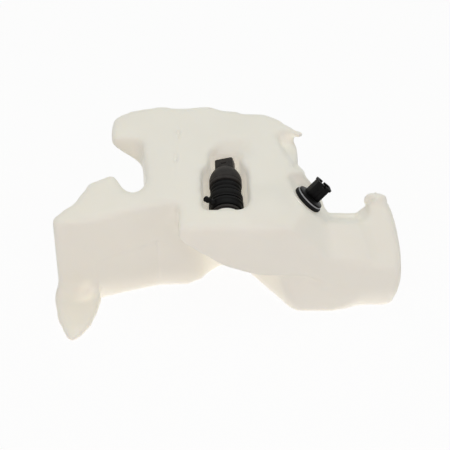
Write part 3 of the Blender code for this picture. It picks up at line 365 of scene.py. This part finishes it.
def spread(tree, value, low, high):
    """Maps a value's middle range onto low to high."""
    node = tree.nodes.new("ShaderNodeMapRange")
    node.inputs["From Min"].default_value = 0.3
    node.inputs["From Max"].default_value = 0.7
    node.inputs["To Min"].default_value = low
    node.inputs["To Max"].default_value = high
    tree.links.new(value, node.inputs["Value"])
    return node.outputs["Result"]


def tint(tree, value, colour, darker, lighter):
    """The colour, between a darker and a lighter share of it, as the value goes from 0 to 1."""
    ramp = tree.nodes.new("ShaderNodeValToRGB")
    ramp.color_ramp.elements[0].position = 0.3
    ramp.color_ramp.elements[1].position = 0.7
    ramp.color_ramp.elements[0].color = (*[c * darker for c in colour], 1)
    ramp.color_ramp.elements[1].color = (*[min(1, c * lighter) for c in colour], 1)
    tree.links.new(value, ramp.inputs["Fac"])
    return ramp.outputs["Color"]


def relief(tree, height, distance, strength=1.0, below=None):
    node = tree.nodes.new("ShaderNodeBump")
    node.inputs["Distance"].default_value = distance
    node.inputs["Strength"].default_value = strength
    tree.links.new(height, node.inputs["Height"])
    if below:
        tree.links.new(below, node.inputs["Normal"])
    return node.outputs["Normal"]


def moulded_finish(name, colour, roughness, grain=1400.0, depth=0.00004):
    """Moulded plastic or rubber: a fine grain, faint flow patches and uneven gloss."""
    made, tree, shader, place = new_finish(name)
    if tree is None:
        return made
    patches = noise(tree, place, 160.0, 4.0)
    fine = noise(tree, place, grain, 2.0)
    gloss = spread(tree, fine, roughness - 0.07, roughness + 0.07)
    tree.links.new(tint(tree, patches, colour, 0.82, 1.18), shader.inputs["Base Color"])
    tree.links.new(gloss, shader.inputs["Roughness"])
    tree.links.new(relief(tree, fine, depth), shader.inputs["Normal"])
    shader.inputs["Specular IOR Level"].default_value = 0.08
    return made


def metal_finish(name, colour, roughness, grain=900.0):
    """Drawn or turned metal: fine lines along one direction and uneven gloss."""
    made, tree, shader, place = new_finish(name)
    if tree is None:
        return made
    mapping = tree.nodes.new("ShaderNodeMapping")
    mapping.inputs["Scale"].default_value = (1.0, 1.0, 6.0)
    tree.links.new(place, mapping.inputs["Vector"])
    lines = noise(tree, mapping.outputs["Vector"], grain, 3.0)
    gloss = spread(tree, lines, roughness - 0.08, roughness + 0.08)
    tree.links.new(tint(tree, lines, colour, 0.85, 1.1), shader.inputs["Base Color"])
    tree.links.new(gloss, shader.inputs["Roughness"])
    tree.links.new(relief(tree, lines, 0.00002), shader.inputs["Normal"])
    shader.inputs["Metallic"].default_value = 1.0
    return made


def milky_finish_with_painted_glow(settings):
    """Blow-moulded polyethylene, rippled and finely grained, with a painted cream glow in its hollows:
    an emission driven by ambient occlusion, in place of light passing through the walls.
    """
    made, tree, shader, place = new_finish("milky polyethylene with painted glow")
    if tree is None:
        return made
    patches = noise(tree, place, 14.0, 2.0)
    skin = noise(tree, place, 700.0, 3.0)
    ripple = noise(tree, place, 45.0, 2.0)
    gloss = spread(tree, skin, settings.roughness - 0.05, settings.roughness + 0.06)
    colour = tint(tree, patches, settings.colour, 0.985, 1.015)
    tree.links.new(colour, shader.inputs["Base Color"])
    tree.links.new(gloss, shader.inputs["Roughness"])
    waves = relief(tree, ripple, 0.0006, 0.35)
    tree.links.new(relief(tree, skin, 0.00005, 0.7, waves), shader.inputs["Normal"])
    shader.inputs["Subsurface Weight"].default_value = 0.3
    shader.inputs["Subsurface Radius"].default_value = (1.0, 0.9, 0.72)
    shader.inputs["Subsurface Scale"].default_value = 0.003
    shader.inputs["Specular IOR Level"].default_value = 0.35
    # Painted glow: a cream emission, strongest where ambient occlusion finds hollows, stands in for
    # light passing through the tank's walls
    hollows = tree.nodes.new("ShaderNodeAmbientOcclusion")
    hollows.inputs["Distance"].default_value = 0.05
    painted_glow = tree.nodes.new("ShaderNodeMapRange")
    painted_glow.inputs["From Min"].default_value = 0.15
    painted_glow.inputs["From Max"].default_value = 0.80
    painted_glow.inputs["To Min"].default_value = 0.38
    painted_glow.inputs["To Max"].default_value = 0.0
    tree.links.new(hollows.outputs["AO"], painted_glow.inputs["Value"])
    tree.links.new(painted_glow.outputs["Result"], shader.inputs["Emission Strength"])
    shader.inputs["Emission Color"].default_value = (1.0, 0.93, 0.80, 1)
    return made


def cap_plastic():
    look = bpy.context.scene.pump_look
    return moulded_finish("dark grey plastic", look.cap_colour, 0.46, grain=2200.0)


def black_rubber():
    look = bpy.context.scene.pump_look
    return moulded_finish("black rubber", look.rubber_colour, 0.5, grain=1800.0)


def black_plastic():
    look = bpy.context.scene.sensor_look
    return moulded_finish("black plastic", look.plastic_colour, 0.36, grain=2600.0)


def plated_steel():
    return metal_finish("plated steel", (0.62, 0.62, 0.60), 0.3)


def brass():
    return metal_finish("tinned brass", (0.70, 0.56, 0.30), 0.32)


# Tank

LUG_RADIUS = 11.0
LUG_HALF_THICKNESS = 3.0
LUG_HOLE = 6.3
DECK_TILT = math.radians(14.0)
WING_TURN = math.radians(18.4)


def plugged_shell():
    """A merged copy of the frame's tank with its holes closed, so that its inside is a sealed space."""
    shell = copy_of(NODES["tank_shell"])
    edit_all(shell)
    bpy.ops.mesh.remove_doubles(threshold=0.000002)
    bpy.ops.object.mode_set(mode="OBJECT")
    carve(shell, rod("plug", 11.6, -10.5, -0.4, PUMP_PLACE), "UNION")
    carve(shell, rod("plug", 13.6, -10.5, -0.4, SENSOR_PLACE), "UNION")
    carve(shell, rod("plug", 18.6, -14.0, 19.0, NECK_PLACE), "UNION")
    return shell


def take_inside(shell):
    """Parts the sealed inside from the shell: all that isn't linked to the shell's rightmost point."""
    activate(shell)
    bpy.ops.object.mode_set(mode="EDIT")
    bpy.ops.mesh.select_mode(type="VERT")
    bpy.ops.mesh.select_all(action="DESELECT")
    bpy.ops.object.mode_set(mode="OBJECT")
    max(shell.data.vertices, key=lambda v: v.co.x).select = True
    bpy.ops.object.mode_set(mode="EDIT")
    bpy.ops.mesh.select_linked()
    bpy.ops.mesh.select_all(action="INVERT")
    bpy.ops.mesh.separate(type="SELECTED")
    bpy.ops.object.mode_set(mode="OBJECT")
    return next(o for o in bpy.context.selected_objects if o != shell)


def upper_left_edge(a, b, left, top):
    """Whether an edge lies above the height, left of the place and across X."""
    return min(a.z, b.z) > top and abs(a.x - b.x) < 1e-5 and a.x < left


def fill_out(skin):
    """Makes the saddle's ridge, the shoulder behind the sensor and the post fuller than the solid."""
    along = axis_place((0.126, -0.0485, 0.0755), RIGHT, UP)
    carve(skin, rod("ridge", 6.2, -18, 17, along), "UNION", "MANIFOLD")
    back = axis_place((0.0836, -0.0251, 0.1100), (-0.609, 0.782, 0.133), UP)
    carve(skin, rod("shoulder", 9.0, 0, 30, back), "UNION", "MANIFOLD")
    for x, z in ((156.7, 100.6), (166.1, 100.1)):
        across = axis_place((x * MM, -0.048, z * MM), BACKWARDS, UP)
        carve(skin, rod("post_head", 8.4, -9, 8, across), "UNION", "MANIFOLD")
    heel = block("heel", (14, 16, 26), (149, -51, 78))
    pick(heel, edges=lambda a, b: upper_left_edge(a, b, 0.145, 0.09))
    bpy.ops.mesh.bevel(offset=0.008, segments=4, affect="EDGES")
    bpy.ops.object.mode_set(mode="OBJECT")
    carve(skin, heel, "UNION", "MANIFOLD")


def carve_details(skin):
    """The wing's shallow front panel and the groove in the top face."""
    panel = block("panel", (70, 30, 80), (0, 0, 0))
    pick(panel, edges=lambda a, b: upper_left_edge(a, b, 0.0, 0.039))
    bpy.ops.transform.translate(value=(0, 0, -0.013))
    bpy.ops.object.mode_set(mode="OBJECT")
    wing = Matrix.Translation((-0.1047, -0.1004, 0.0262))
    settle(panel, wing @ Matrix.Rotation(WING_TURN, 4, "Z"))
    carve(skin, panel, "DIFFERENCE", "MANIFOLD")
    groove = block("groove", (3.2, 74, 5.2), (0, 0, 0))
    deck = Matrix.Translation((-0.0572, -0.004, 0.1331)) @ Matrix.Rotation(DECK_TILT, 4, "X")
    settle(groove, deck @ Matrix.Rotation(math.radians(-2.6), 4, "Z"))
    carve(skin, groove, "DIFFERENCE", "MANIFOLD")


def seat_fittings(skin, look):
    """Adds the flat seats, the filler neck with its bead and the lugs, and bores them."""
    neck_outer = look.neck_radius / MM
    neck_high = look.neck_length / MM
    added = [
        rod("pump_pad", 16.5, -5.0, 0.0, PUMP_PLACE),
        rod("sensor_pad", 21.0, -5.0, 0.0, SENSOR_PLACE),
        rod("neck", neck_outer, -12.0, neck_high, NECK_PLACE, 96),
        rod("bead", neck_outer + 1.5, neck_high - 3.6, neck_high - 0.6, NECK_PLACE, 96),
    ]
    bores = [
        rod("pump_hole", 11.0, -12.0, 5.0, PUMP_PLACE),
        rod("sensor_hole", 13.0, -12.0, 5.0, SENSOR_PLACE),
        rod("neck_bore", look.neck_bore / MM, -16.0, neck_high + 5, NECK_PLACE, 96),
    ]
    for name in ("left", "right", "top"):
        low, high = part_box("lug_bush_" + name)
        middle = (low + high) / 2 / MM
        place = Matrix.Translation((middle.x * MM, middle.y * MM, 0))
        low, high = middle.z - LUG_HALF_THICKNESS, middle.z + LUG_HALF_THICKNESS
        added.append(rod("tab", LUG_RADIUS, low, high, place))
        bores.append(rod("lug_hole", LUG_HOLE, low - 6, high + 6, place))
    for piece in added:
        carve(skin, piece, "UNION", "MANIFOLD")
    for piece in bores:
        carve(skin, piece, "DIFFERENCE", "MANIFOLD")


class ReservoirTank(bpy.types.Operator):
    """Model the blow-moulded tank with its seats, filler neck and lugs"""
    bl_idname = "reservoir.tank"
    bl_label = "Tank"

    def execute(self, context):
        look = context.scene.tank_look
        skin = plugged_shell()
        inside = take_inside(skin)
        apply_modifier(skin, "REMESH", mode="VOXEL", voxel_size=look.skin)
        fill_out(skin)
        apply_modifier(skin, "SMOOTH", factor=0.5, iterations=look.smoothing)
        carve_details(skin)
        apply_modifier(skin, "REMESH", mode="VOXEL", voxel_size=look.skin)
        apply_modifier(skin, "SMOOTH", factor=0.5, iterations=3)
        merge(skin, inside)
        seat_fittings(skin, look)
        complete(
            skin, "tank", milky_finish_with_painted_glow(look), ["tank_shell"], smooth=40)
        return {"FINISHED"}


class ReservoirLugSleeves(bpy.types.Operator):
    """Model the metal sleeve once and copy it into each fixing lug"""
    bl_idname = "reservoir.lug_sleeves"
    bl_label = "Lug sleeves"

    def execute(self, context):
        finish = plated_steel()
        outline = [(4.2, 3.5), (6.0, 3.5), (6.0, -3.5), (4.2, -3.5), (4.2, 3.5)]
        model = turned("sleeve", outline, 64, 0.25)
        for name in ("left", "right", "top"):
            low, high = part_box("lug_bush_" + name)
            sleeve = copy_of(model)
            settle(sleeve, Matrix.Translation((low + high) / 2))
            complete(sleeve, "lug_sleeve_" + name, finish, ["lug_bush_" + name])
        bpy.data.objects.remove(model)
        return {"FINISHED"}


# Pump

OUTLET_ANGLE = math.radians(38.7)
PLUG_TURN = Matrix.Rotation(-math.radians(15.0), 4, "Z")


class ReservoirPumpGrommet(bpy.types.Operator):
    """Model the rubber grommet and the inlet cover that plugs into it"""
    bl_idname = "reservoir.pump_grommet"
    bl_label = "Pump grommet and inlet"

    def execute(self, context):
        grommet = turned("grommet", [
            (7.3, 3.3), (14.0, 3.3), (15.0, 2.3), (15.0, 0.3), (10.7, 0.3), (10.7, -5.3),
            (12.6, -5.3), (12.6, -6.3), (9.5, -9.3), (7.3, -9.3), (7.3, 3.3),
        ])
        settle(grommet, PUMP_PLACE)
        complete(grommet, "pump_grommet_rubber", black_rubber(), ["pump_grommet"])
        cover = turned("cover", [
            (4.5, 7.1), (15.2, 7.1), (16.0, 6.3), (16.0, 3.6), (7.0, 3.6), (7.0, -5.0),
            (7.0, -11.0), (6.0, -12.0), (4.5, -12.0), (4.5, 7.1),
        ])
        settle(cover, PUMP_PLACE)
        complete(cover, "pump_inlet_cover", cap_plastic(), ["inlet_cover"])
        return {"FINISHED"}


class ReservoirPumpHousing(bpy.types.Operator):
    """Model the pump's lower housing with its stepped flange and barbed outlet"""
    bl_idname = "reservoir.pump_housing"
    bl_label = "Pump housing"

    def execute(self, context):
        radius = context.scene.pump_look.housing_radius / MM
        housing = turned("housing", [
            (1.7, 16.0), (4.5, 16.0), (4.5, 20.0), (radius - 1.2, 20.0), (radius, 19.2),
            (radius, 17.6), (radius - 1.4, 17.2), (radius - 1.4, 16.2), (radius, 15.8),
            (radius, 13.6), (radius - 1.2, 12.8), (radius - 1.2, 9.6), (radius - 2.0, 7.4),
            (11.0, 7.4), (11.0, 14.0), (1.7, 14.0), (1.7, 16.0),
        ])
        outwards = (math.cos(OUTLET_ANGLE), math.sin(OUTLET_ANGLE), 0)
        way = axis_place((0, 0, 0.012), outwards, UP)
        barb = turned("barb", [
            (1.6, 15.0), (3.9, 15.0), (3.9, 20.6), (2.7, 21.6), (2.6, 24.0), (3.4, 24.8),
            (3.1, 26.4), (2.5, 27.0), (2.6, 27.4), (3.5, 27.9), (3.3, 29.2), (2.5, 30.0),
            (1.6, 30.0), (1.6, 15.0),
        ], 48, 0.0002)
        settle(barb, way)
        merge(housing, barb)
        settle(housing, PUMP_PLACE)
        complete(
            housing, "pump_lower_housing", black_plastic(), ["pump_housing"])
        return {"FINISHED"}


class ReservoirPumpSleeve(bpy.types.Operator):
    """Model the ribbed rubber sleeve round the motor"""
    bl_idname = "reservoir.pump_sleeve"
    bl_label = "Pump sleeve"

    def execute(self, context):
        r = context.scene.pump_look.sleeve_radius / MM
        groove = r - 1.8
        foot = r + 1.4
        sleeve = turned("sleeve", [
            (14.0, 42.2), (groove + 0.3, 42.2), (groove, 41.4), (groove, 40.4), (r - 0.5, 39.4),
            (r, 38.6), (r, 36.6), (r - 0.5, 35.8), (groove, 35.0), (groove, 34.0), (r - 0.4, 33.2),
            (r, 32.4), (r, 30.6), (r - 0.4, 29.8), (groove + 0.2, 29.0), (groove + 0.2, 28.4),
            (foot - 0.8, 27.6), (foot, 26.8), (foot, 22.6), (foot - 0.6, 21.6),
            (foot - 1.6, 20.4), (14.0, 20.4), (14.0, 42.2),
        ], 96, 0.0002)
        settle(sleeve, PUMP_PLACE)
        complete(sleeve, "pump_rubber_sleeve", black_rubber(), ["pump_sleeve"])
        return {"FINISHED"}


class ReservoirPumpCap(bpy.types.Operator):
    """Model the pump's domed upper housing with its connector shroud and latch window"""
    bl_idname = "reservoir.pump_cap"
    bl_label = "Pump cap"

    def execute(self, context):
        r = context.scene.pump_look.cap_radius / MM
        cap = turned("cap", [
            (14.0, 42.6), (14.0, 50.6), (4.3, 50.6), (4.3, 55.0), (0.4, 55.0), (0.4, 56.5),
            (0.4, 66.5), (10.0, 66.5), (r - 5.6, 65.0), (r - 3.4, 62.2), (r - 1.6, 58.6),
            (r - 0.6, 55.6), (r, 53.0), (r, 47.0), (r - 0.5, 46.6), (r - 0.5, 45.8), (r, 45.4),
            (r, 43.2), (r - 0.6, 42.6), (14.0, 42.6),
        ], 96, 0.0003)
        shroud = rounded_block("shroud", (20.5, 14.0, 20.0), (0, 0, 71.0), 2.4)
        pick(shroud, faces=lambda c, n: n.z > 0.9)
        bpy.ops.mesh.inset(thickness=1.8 * MM)
        bpy.ops.mesh.extrude_region_move(TRANSFORM_OT_translate={"value": (0, 0, -11.5 * MM)})
        bpy.ops.object.mode_set(mode="OBJECT")
        tidy_normals(shroud)
        carve(shroud, block("window", (5.5, 2.6, 2.4), (0, 7.0, 74.0)))
        soften_edges(shroud, 0.0003)
        rib = rounded_block("rib", (1.6, 1.4, 12.0), (-5.4, 7.2, 70.5), 0.4, 2)
        other = copy_of(rib)
        settle(other, Matrix.Translation((10.8 * MM, 0, 0)))
        merge(shroud, rib, other)
        settle(shroud, PLUG_TURN)
        merge(cap, shroud)
        settle(cap, PUMP_PLACE)
        complete(cap, "pump_upper_housing", cap_plastic(), ["pump_cap"])
        return {"FINISHED"}


class ReservoirPumpBlades(bpy.types.Operator):
    """Model the two contact blades in the pump's connector"""
    bl_idname = "reservoir.pump_blades"
    bl_label = "Pump blades"

    def execute(self, context):
        for name, side in (("left", 1), ("right", -1)):
            blade = block("blade", (0.8, 3.2, 18.0), (side * 3.5, 0, 67.5))
            pick(blade, faces=lambda c, n: n.z > 0.9)
            bpy.ops.transform.resize(
                value=(0.4, 0.7, 1), center_override=(side * 3.5 * MM, 0, 76.5 * MM))
            bpy.ops.object.mode_set(mode="OBJECT")
            settle(blade, PLUG_TURN)
            settle(blade, PUMP_PLACE)
            complete(blade, "pump_blade_" + name, brass(), ["pump_terminal_" + name])
        return {"FINISHED"}


# Level sensor

class ReservoirSensorGrommet(bpy.types.Operator):
    """Model the sensor's rubber grommet and the pale grey ring on it, whose pale colour is a painted
    highlight along the flange's rim
    """
    bl_idname = "reservoir.sensor_grommet"
    bl_label = "Sensor grommet and washer"

    def execute(self, context):
        r = context.scene.sensor_look.flange_radius / MM
        grommet = turned("grommet", [
            (9.6, 4.5), (r - 1.4, 4.5), (r - 0.4, 4.2), (r, 3.4), (r, 1.3), (r - 1.0, 0.3),
            (12.7, 0.3), (12.7, -5.3), (14.6, -5.3), (14.6, -6.3), (11.5, -9.3), (9.6, -9.3),
            (9.6, 4.5),
        ])
        settle(grommet, SENSOR_PLACE)
        complete(grommet, "sensor_grommet_rubber", black_rubber(), ["sensor_grommet"])
        outline = [(9.6, 5.8), (16.1, 5.8), (16.1, 4.8), (9.6, 4.8), (9.6, 5.8)]
        # The ring's pale grey is painted highlight: it stands for the shine along the sensor flange's
        # rim edge
        washer = turned("washer", outline, 96, 0.0002)
        settle(washer, SENSOR_PLACE)
        grey = context.scene.sensor_look.rim_highlight_colour
        finish = moulded_finish("pale grey painted highlight", grey, 0.42)
        complete(washer, "sensor_ring_painted_highlight", finish, ["sensor_ring"])
        return {"FINISHED"}


class ReservoirSensorBody(bpy.types.Operator):
    """Model the sensor's flange, connector shroud and the stem inside the tank"""
    bl_idname = "reservoir.sensor_body"
    bl_label = "Sensor body"

    def execute(self, context):
        body = turned("body", [
            (0.4, 8.5), (11.0, 8.5), (11.5, 8.2), (14.6, 8.2), (15.8, 7.6), (15.8, 6.1),
            (9.3, 6.1), (9.3, -9.2), (8.6, -10.0), (0.4, -10.0),
        ])
        shroud = rounded_block("shroud", (18.0, 11.0, 20.5), (0, 0, 17.75), 1.6)
        pick(shroud, faces=lambda c, n: n.z > 0.9)
        bpy.ops.mesh.inset(thickness=1.8 * MM)
        bpy.ops.mesh.extrude_region_move(TRANSFORM_OT_translate={"value": (0, 0, -15.5 * MM)})
        bpy.ops.object.mode_set(mode="OBJECT")
        tidy_normals(shroud)
        rim = rounded_block("rim", (19.6, 12.6, 2.5), (0, 0, 26.75), 1.8)
        carve(rim, block("hole", (14.6, 7.6, 8.0), (0, 0, 27.0)))
        for part in (shroud, rim):
            carve(part, block("notch", (3.0, 20.0, 6.0), (0, 0, 28.0)))
        ribs = [
            rounded_block("rib", (1.0, 12.2, 14.0), (x, 0, 14.0), 0.3, 2)
            for x in (-7.0, -2.4, 2.4, 7.0)
        ]
        for rib in ribs:
            carve(rib, block("clear", (30, 7.2, 40), (0, 0, 30.0)))
        stem = rounded_block("stem", (9.0, 6.0, 34.6), (0, 0, -26.1), 1.2, 3)
        carve(stem, block("fork", (3.6, 20.0, 9.0), (0, 0, -40.2)))
        merge(shroud, rim, *ribs)
        soften_edges(shroud, 0.0002)
        merge(body, shroud, stem)
        settle(body, SENSOR_PLACE)
        complete(body, "sensor_moulding", black_plastic(), ["sensor_body"])
        return {"FINISHED"}


class ReservoirSensorBlades(bpy.types.Operator):
    """Model the two contact blades in the sensor's connector"""
    bl_idname = "reservoir.sensor_blades"
    bl_label = "Sensor blades"

    def execute(self, context):
        for name, side in (("left", 1), ("right", -1)):
            blade = block("blade", (3.2, 0.8, 16.5), (side * 3.5, 0, 15.7))
            pick(blade, faces=lambda c, n: n.z > 0.9)
            bpy.ops.transform.resize(
                value=(0.7, 0.4, 1), center_override=(side * 3.5 * MM, 0, 23.9 * MM))
            bpy.ops.object.mode_set(mode="OBJECT")
            settle(blade, SENSOR_PLACE)
            complete(blade, "sensor_blade_" + name, brass(), ["sensor_terminal_" + name])
        return {"FINISHED"}


# Hidden pieces keep the frame's shapes and get their own finishes

class ReservoirInnerFinishes(bpy.types.Operator):
    """Give the motor's and the float's own pieces their finishes"""
    bl_idname = "reservoir.inner_finishes"
    bl_label = "Inner finishes"

    def execute(self, context):
        steel = plated_steel()
        copper = metal_finish("enamelled copper", (0.62, 0.30, 0.15), 0.3, grain=2500.0)
        bronze = metal_finish("sintered bronze", (0.45, 0.30, 0.15), 0.5)
        pale = moulded_finish("pale plastic", (0.68, 0.68, 0.64), 0.45)
        ferrite = moulded_finish("ferrite", (0.045, 0.045, 0.05), 0.65, grain=3000.0)
        carbon = moulded_finish("pressed carbon", (0.02, 0.02, 0.02), 0.6, grain=3000.0)
        glass = moulded_finish("clear glass", (0.75, 0.85, 0.8), 0.1, depth=0.000005)
        looks = (
            (steel, ("motor_can", "armature_core", "motor_shaft", "sensor_pin")),
            (copper, ("armature_winding", "commutator")),
            (bronze, ("lower_bush", "upper_bush")),
            (pale, ("impeller", "float_arm")),
            (ferrite, ("magnet_left", "magnet_right", "float_magnet")),
            (carbon, ("brush_left", "brush_right")),
            (glass, ("reed_switch",)),
            (black_rubber(), ("shaft_seal",)),
            (black_plastic(), ("brush_holder",)),
            (cap_plastic(), ("inlet_strainer",)),
        )
        for finish, names in looks:
            for name in names:
                node = NODES[name]
                node.data.materials.clear()
                node.data.materials.append(finish)
        return {"FINISHED"}


# Stage

def area_light(name, place, target, size, power, colour):
    """A rectangular lamp that faces a point."""
    data = bpy.data.lights.new(name, "AREA")
    data.shape = "RECTANGLE"
    data.size, data.size_y = size
    data.energy = power
    data.color = colour
    lamp = bpy.data.objects.new(name, data)
    lamp.location = place
    lamp.rotation_euler = (Vector(place) - Vector(target)).to_track_quat("Z", "Y").to_euler()
    bpy.context.scene.collection.objects.link(lamp)


class ReservoirStage(bpy.types.Operator):
    """Set the floor, the lamps, the white surroundings and the camera"""
    bl_idname = "reservoir.stage"
    bl_label = "Stage"

    def execute(self, context):
        look = context.scene.stage_look
        scene = context.scene
        deselect()
        bpy.ops.mesh.primitive_plane_add(size=14, location=(0, 0, -0.0003))
        floor = bpy.context.object
        floor.name = "floor"
        settle(floor, Matrix())
        floor.data.materials.append(floor_finish(look))
        target = Vector((-0.0033, -0.060, 0.075))
        azimuth, elevation = look.camera_azimuth, look.camera_elevation
        back = Vector((
            math.sin(azimuth) * math.cos(elevation),
            -math.cos(azimuth) * math.cos(elevation),
            math.sin(elevation)))
        data = bpy.data.cameras.new("camera")
        data.sensor_width = 36
        data.lens = look.lens
        camera = bpy.data.objects.new("camera", data)
        camera.location = target + look.camera_distance * back
        camera.rotation_euler = back.to_track_quat("Z", "Y").to_euler()
        scene.collection.objects.link(camera)
        scene.camera = camera
        white_surroundings(scene)
        area_light(
            "top", (0.1, 0.25, 1.5), (0, -0.03, 0.08), (1.6, 1.2), 5.3, (0.91, 1.0, 0.93))
        area_light(
            "front", (-0.1, -1.45, 1.0), (0, -0.03, 0.07), (2.4, 0.9), 7.2, (1.0, 0.865, 0.875))
        scene.view_settings.view_transform = "Standard"
        return {"FINISHED"}


def floor_finish(look):
    """A matt pale floor that the camera and reflections see as white, with the object's shadow."""
    made = bpy.data.materials.new("studio floor")
    made.use_nodes = True
    tree = made.node_tree
    shader = tree.nodes["Principled BSDF"]
    place = tree.nodes.new("ShaderNodeTexCoord").outputs["Object"]
    grain = noise(tree, place, 300.0, 2.0)
    tree.links.new(tint(tree, grain, look.floor_colour, 0.99, 1.01), shader.inputs["Base Color"])
    shader.inputs["Roughness"].default_value = 0.85
    glow = tree.nodes.new("ShaderNodeEmission")
    mix = tree.nodes.new("ShaderNodeMixShader")
    glow.inputs["Color"].default_value = (1, 1, 1, 1)
    glow.inputs["Strength"].default_value = 1.0
    tree.links.new(shader.outputs["BSDF"], mix.inputs[1])
    tree.links.new(glow.outputs["Emission"], mix.inputs[2])
    seen = seen_by_camera(tree)
    share = tree.nodes.new("ShaderNodeMath")
    share.operation = "MULTIPLY"
    share.inputs[1].default_value = 0.92
    tree.links.new(seen, share.inputs[0])
    tree.links.new(share.outputs["Value"], mix.inputs["Fac"])
    tree.links.new(mix.outputs["Shader"], tree.nodes["Material Output"].inputs["Surface"])
    return made


def seen_by_camera(tree):
    """1 for what the camera sees directly, in a reflection or through a clear piece."""
    path = tree.nodes.new("ShaderNodeLightPath")
    total = path.outputs["Is Camera Ray"]
    for name in ("Is Glossy Ray", "Is Transmission Ray"):
        step = tree.nodes.new("ShaderNodeMath")
        step.operation = "MAXIMUM"
        tree.links.new(total, step.inputs[0])
        tree.links.new(path.outputs[name], step.inputs[1])
        total = step.outputs["Value"]
    return total


def white_surroundings(scene):
    world = bpy.data.worlds.new("studio")
    scene.world = world
    world.use_nodes = True
    tree = world.node_tree
    soft = tree.nodes["Background"]
    soft.inputs["Color"].default_value = (1.0, 0.99, 0.97, 1)
    soft.inputs["Strength"].default_value = 0.50
    white = tree.nodes.new("ShaderNodeBackground")
    white.inputs["Color"].default_value = (1, 1, 1, 1)
    white.inputs["Strength"].default_value = 1.0
    mix = tree.nodes.new("ShaderNodeMixShader")
    tree.links.new(seen_by_camera(tree), mix.inputs["Fac"])
    tree.links.new(soft.outputs["Background"], mix.inputs[1])
    tree.links.new(white.outputs["Background"], mix.inputs[2])
    tree.links.new(mix.outputs["Shader"], tree.nodes["World Output"].inputs["Surface"])


# Panel and registration

OPERATORS = (
    ReservoirTank, ReservoirLugSleeves, ReservoirPumpGrommet, ReservoirPumpHousing,
    ReservoirPumpSleeve, ReservoirPumpCap, ReservoirPumpBlades, ReservoirSensorGrommet,
    ReservoirSensorBody, ReservoirSensorBlades, ReservoirInnerFinishes, ReservoirStage,
)
SETTINGS = {
    "tank_look": TankSettings,
    "pump_look": PumpSettings,
    "sensor_look": SensorSettings,
    "stage_look": StageSettings,
}


class ReservoirPanel(bpy.types.Panel):
    """Lists the reservoir's sizes, colours and pieces"""
    bl_idname = "VIEW3D_PT_reservoir"
    bl_label = "Reservoir"
    bl_space_type = "VIEW_3D"
    bl_region_type = "UI"
    bl_category = "Reservoir"

    def draw(self, context):
        layout = self.layout
        for name in SETTINGS:
            box = layout.box()
            group = getattr(context.scene, name)
            for key in group.__annotations__:
                box.prop(group, key)
        for operator in OPERATORS:
            layout.operator(operator.bl_idname)


def register():
    for name, group in SETTINGS.items():
        bpy.utils.register_class(group)
        setattr(bpy.types.Scene, name, PointerProperty(type=group))
    for operator in OPERATORS:
        bpy.utils.register_class(operator)
    bpy.utils.register_class(ReservoirPanel)


def unregister():
    bpy.utils.unregister_class(ReservoirPanel)
    for operator in reversed(OPERATORS):
        bpy.utils.unregister_class(operator)
    for name, group in SETTINGS.items():
        delattr(bpy.types.Scene, name)
        bpy.utils.unregister_class(group)


def main():
    register()
    bpy.ops.reservoir.tank()
    bpy.ops.reservoir.lug_sleeves()
    bpy.ops.reservoir.pump_grommet()
    bpy.ops.reservoir.pump_housing()
    bpy.ops.reservoir.pump_sleeve()
    bpy.ops.reservoir.pump_cap()
    bpy.ops.reservoir.pump_blades()
    bpy.ops.reservoir.sensor_grommet()
    bpy.ops.reservoir.sensor_body()
    bpy.ops.reservoir.sensor_blades()
    bpy.ops.reservoir.inner_finishes()
    bpy.ops.reservoir.stage()


if __name__ == "__main__":
    main()
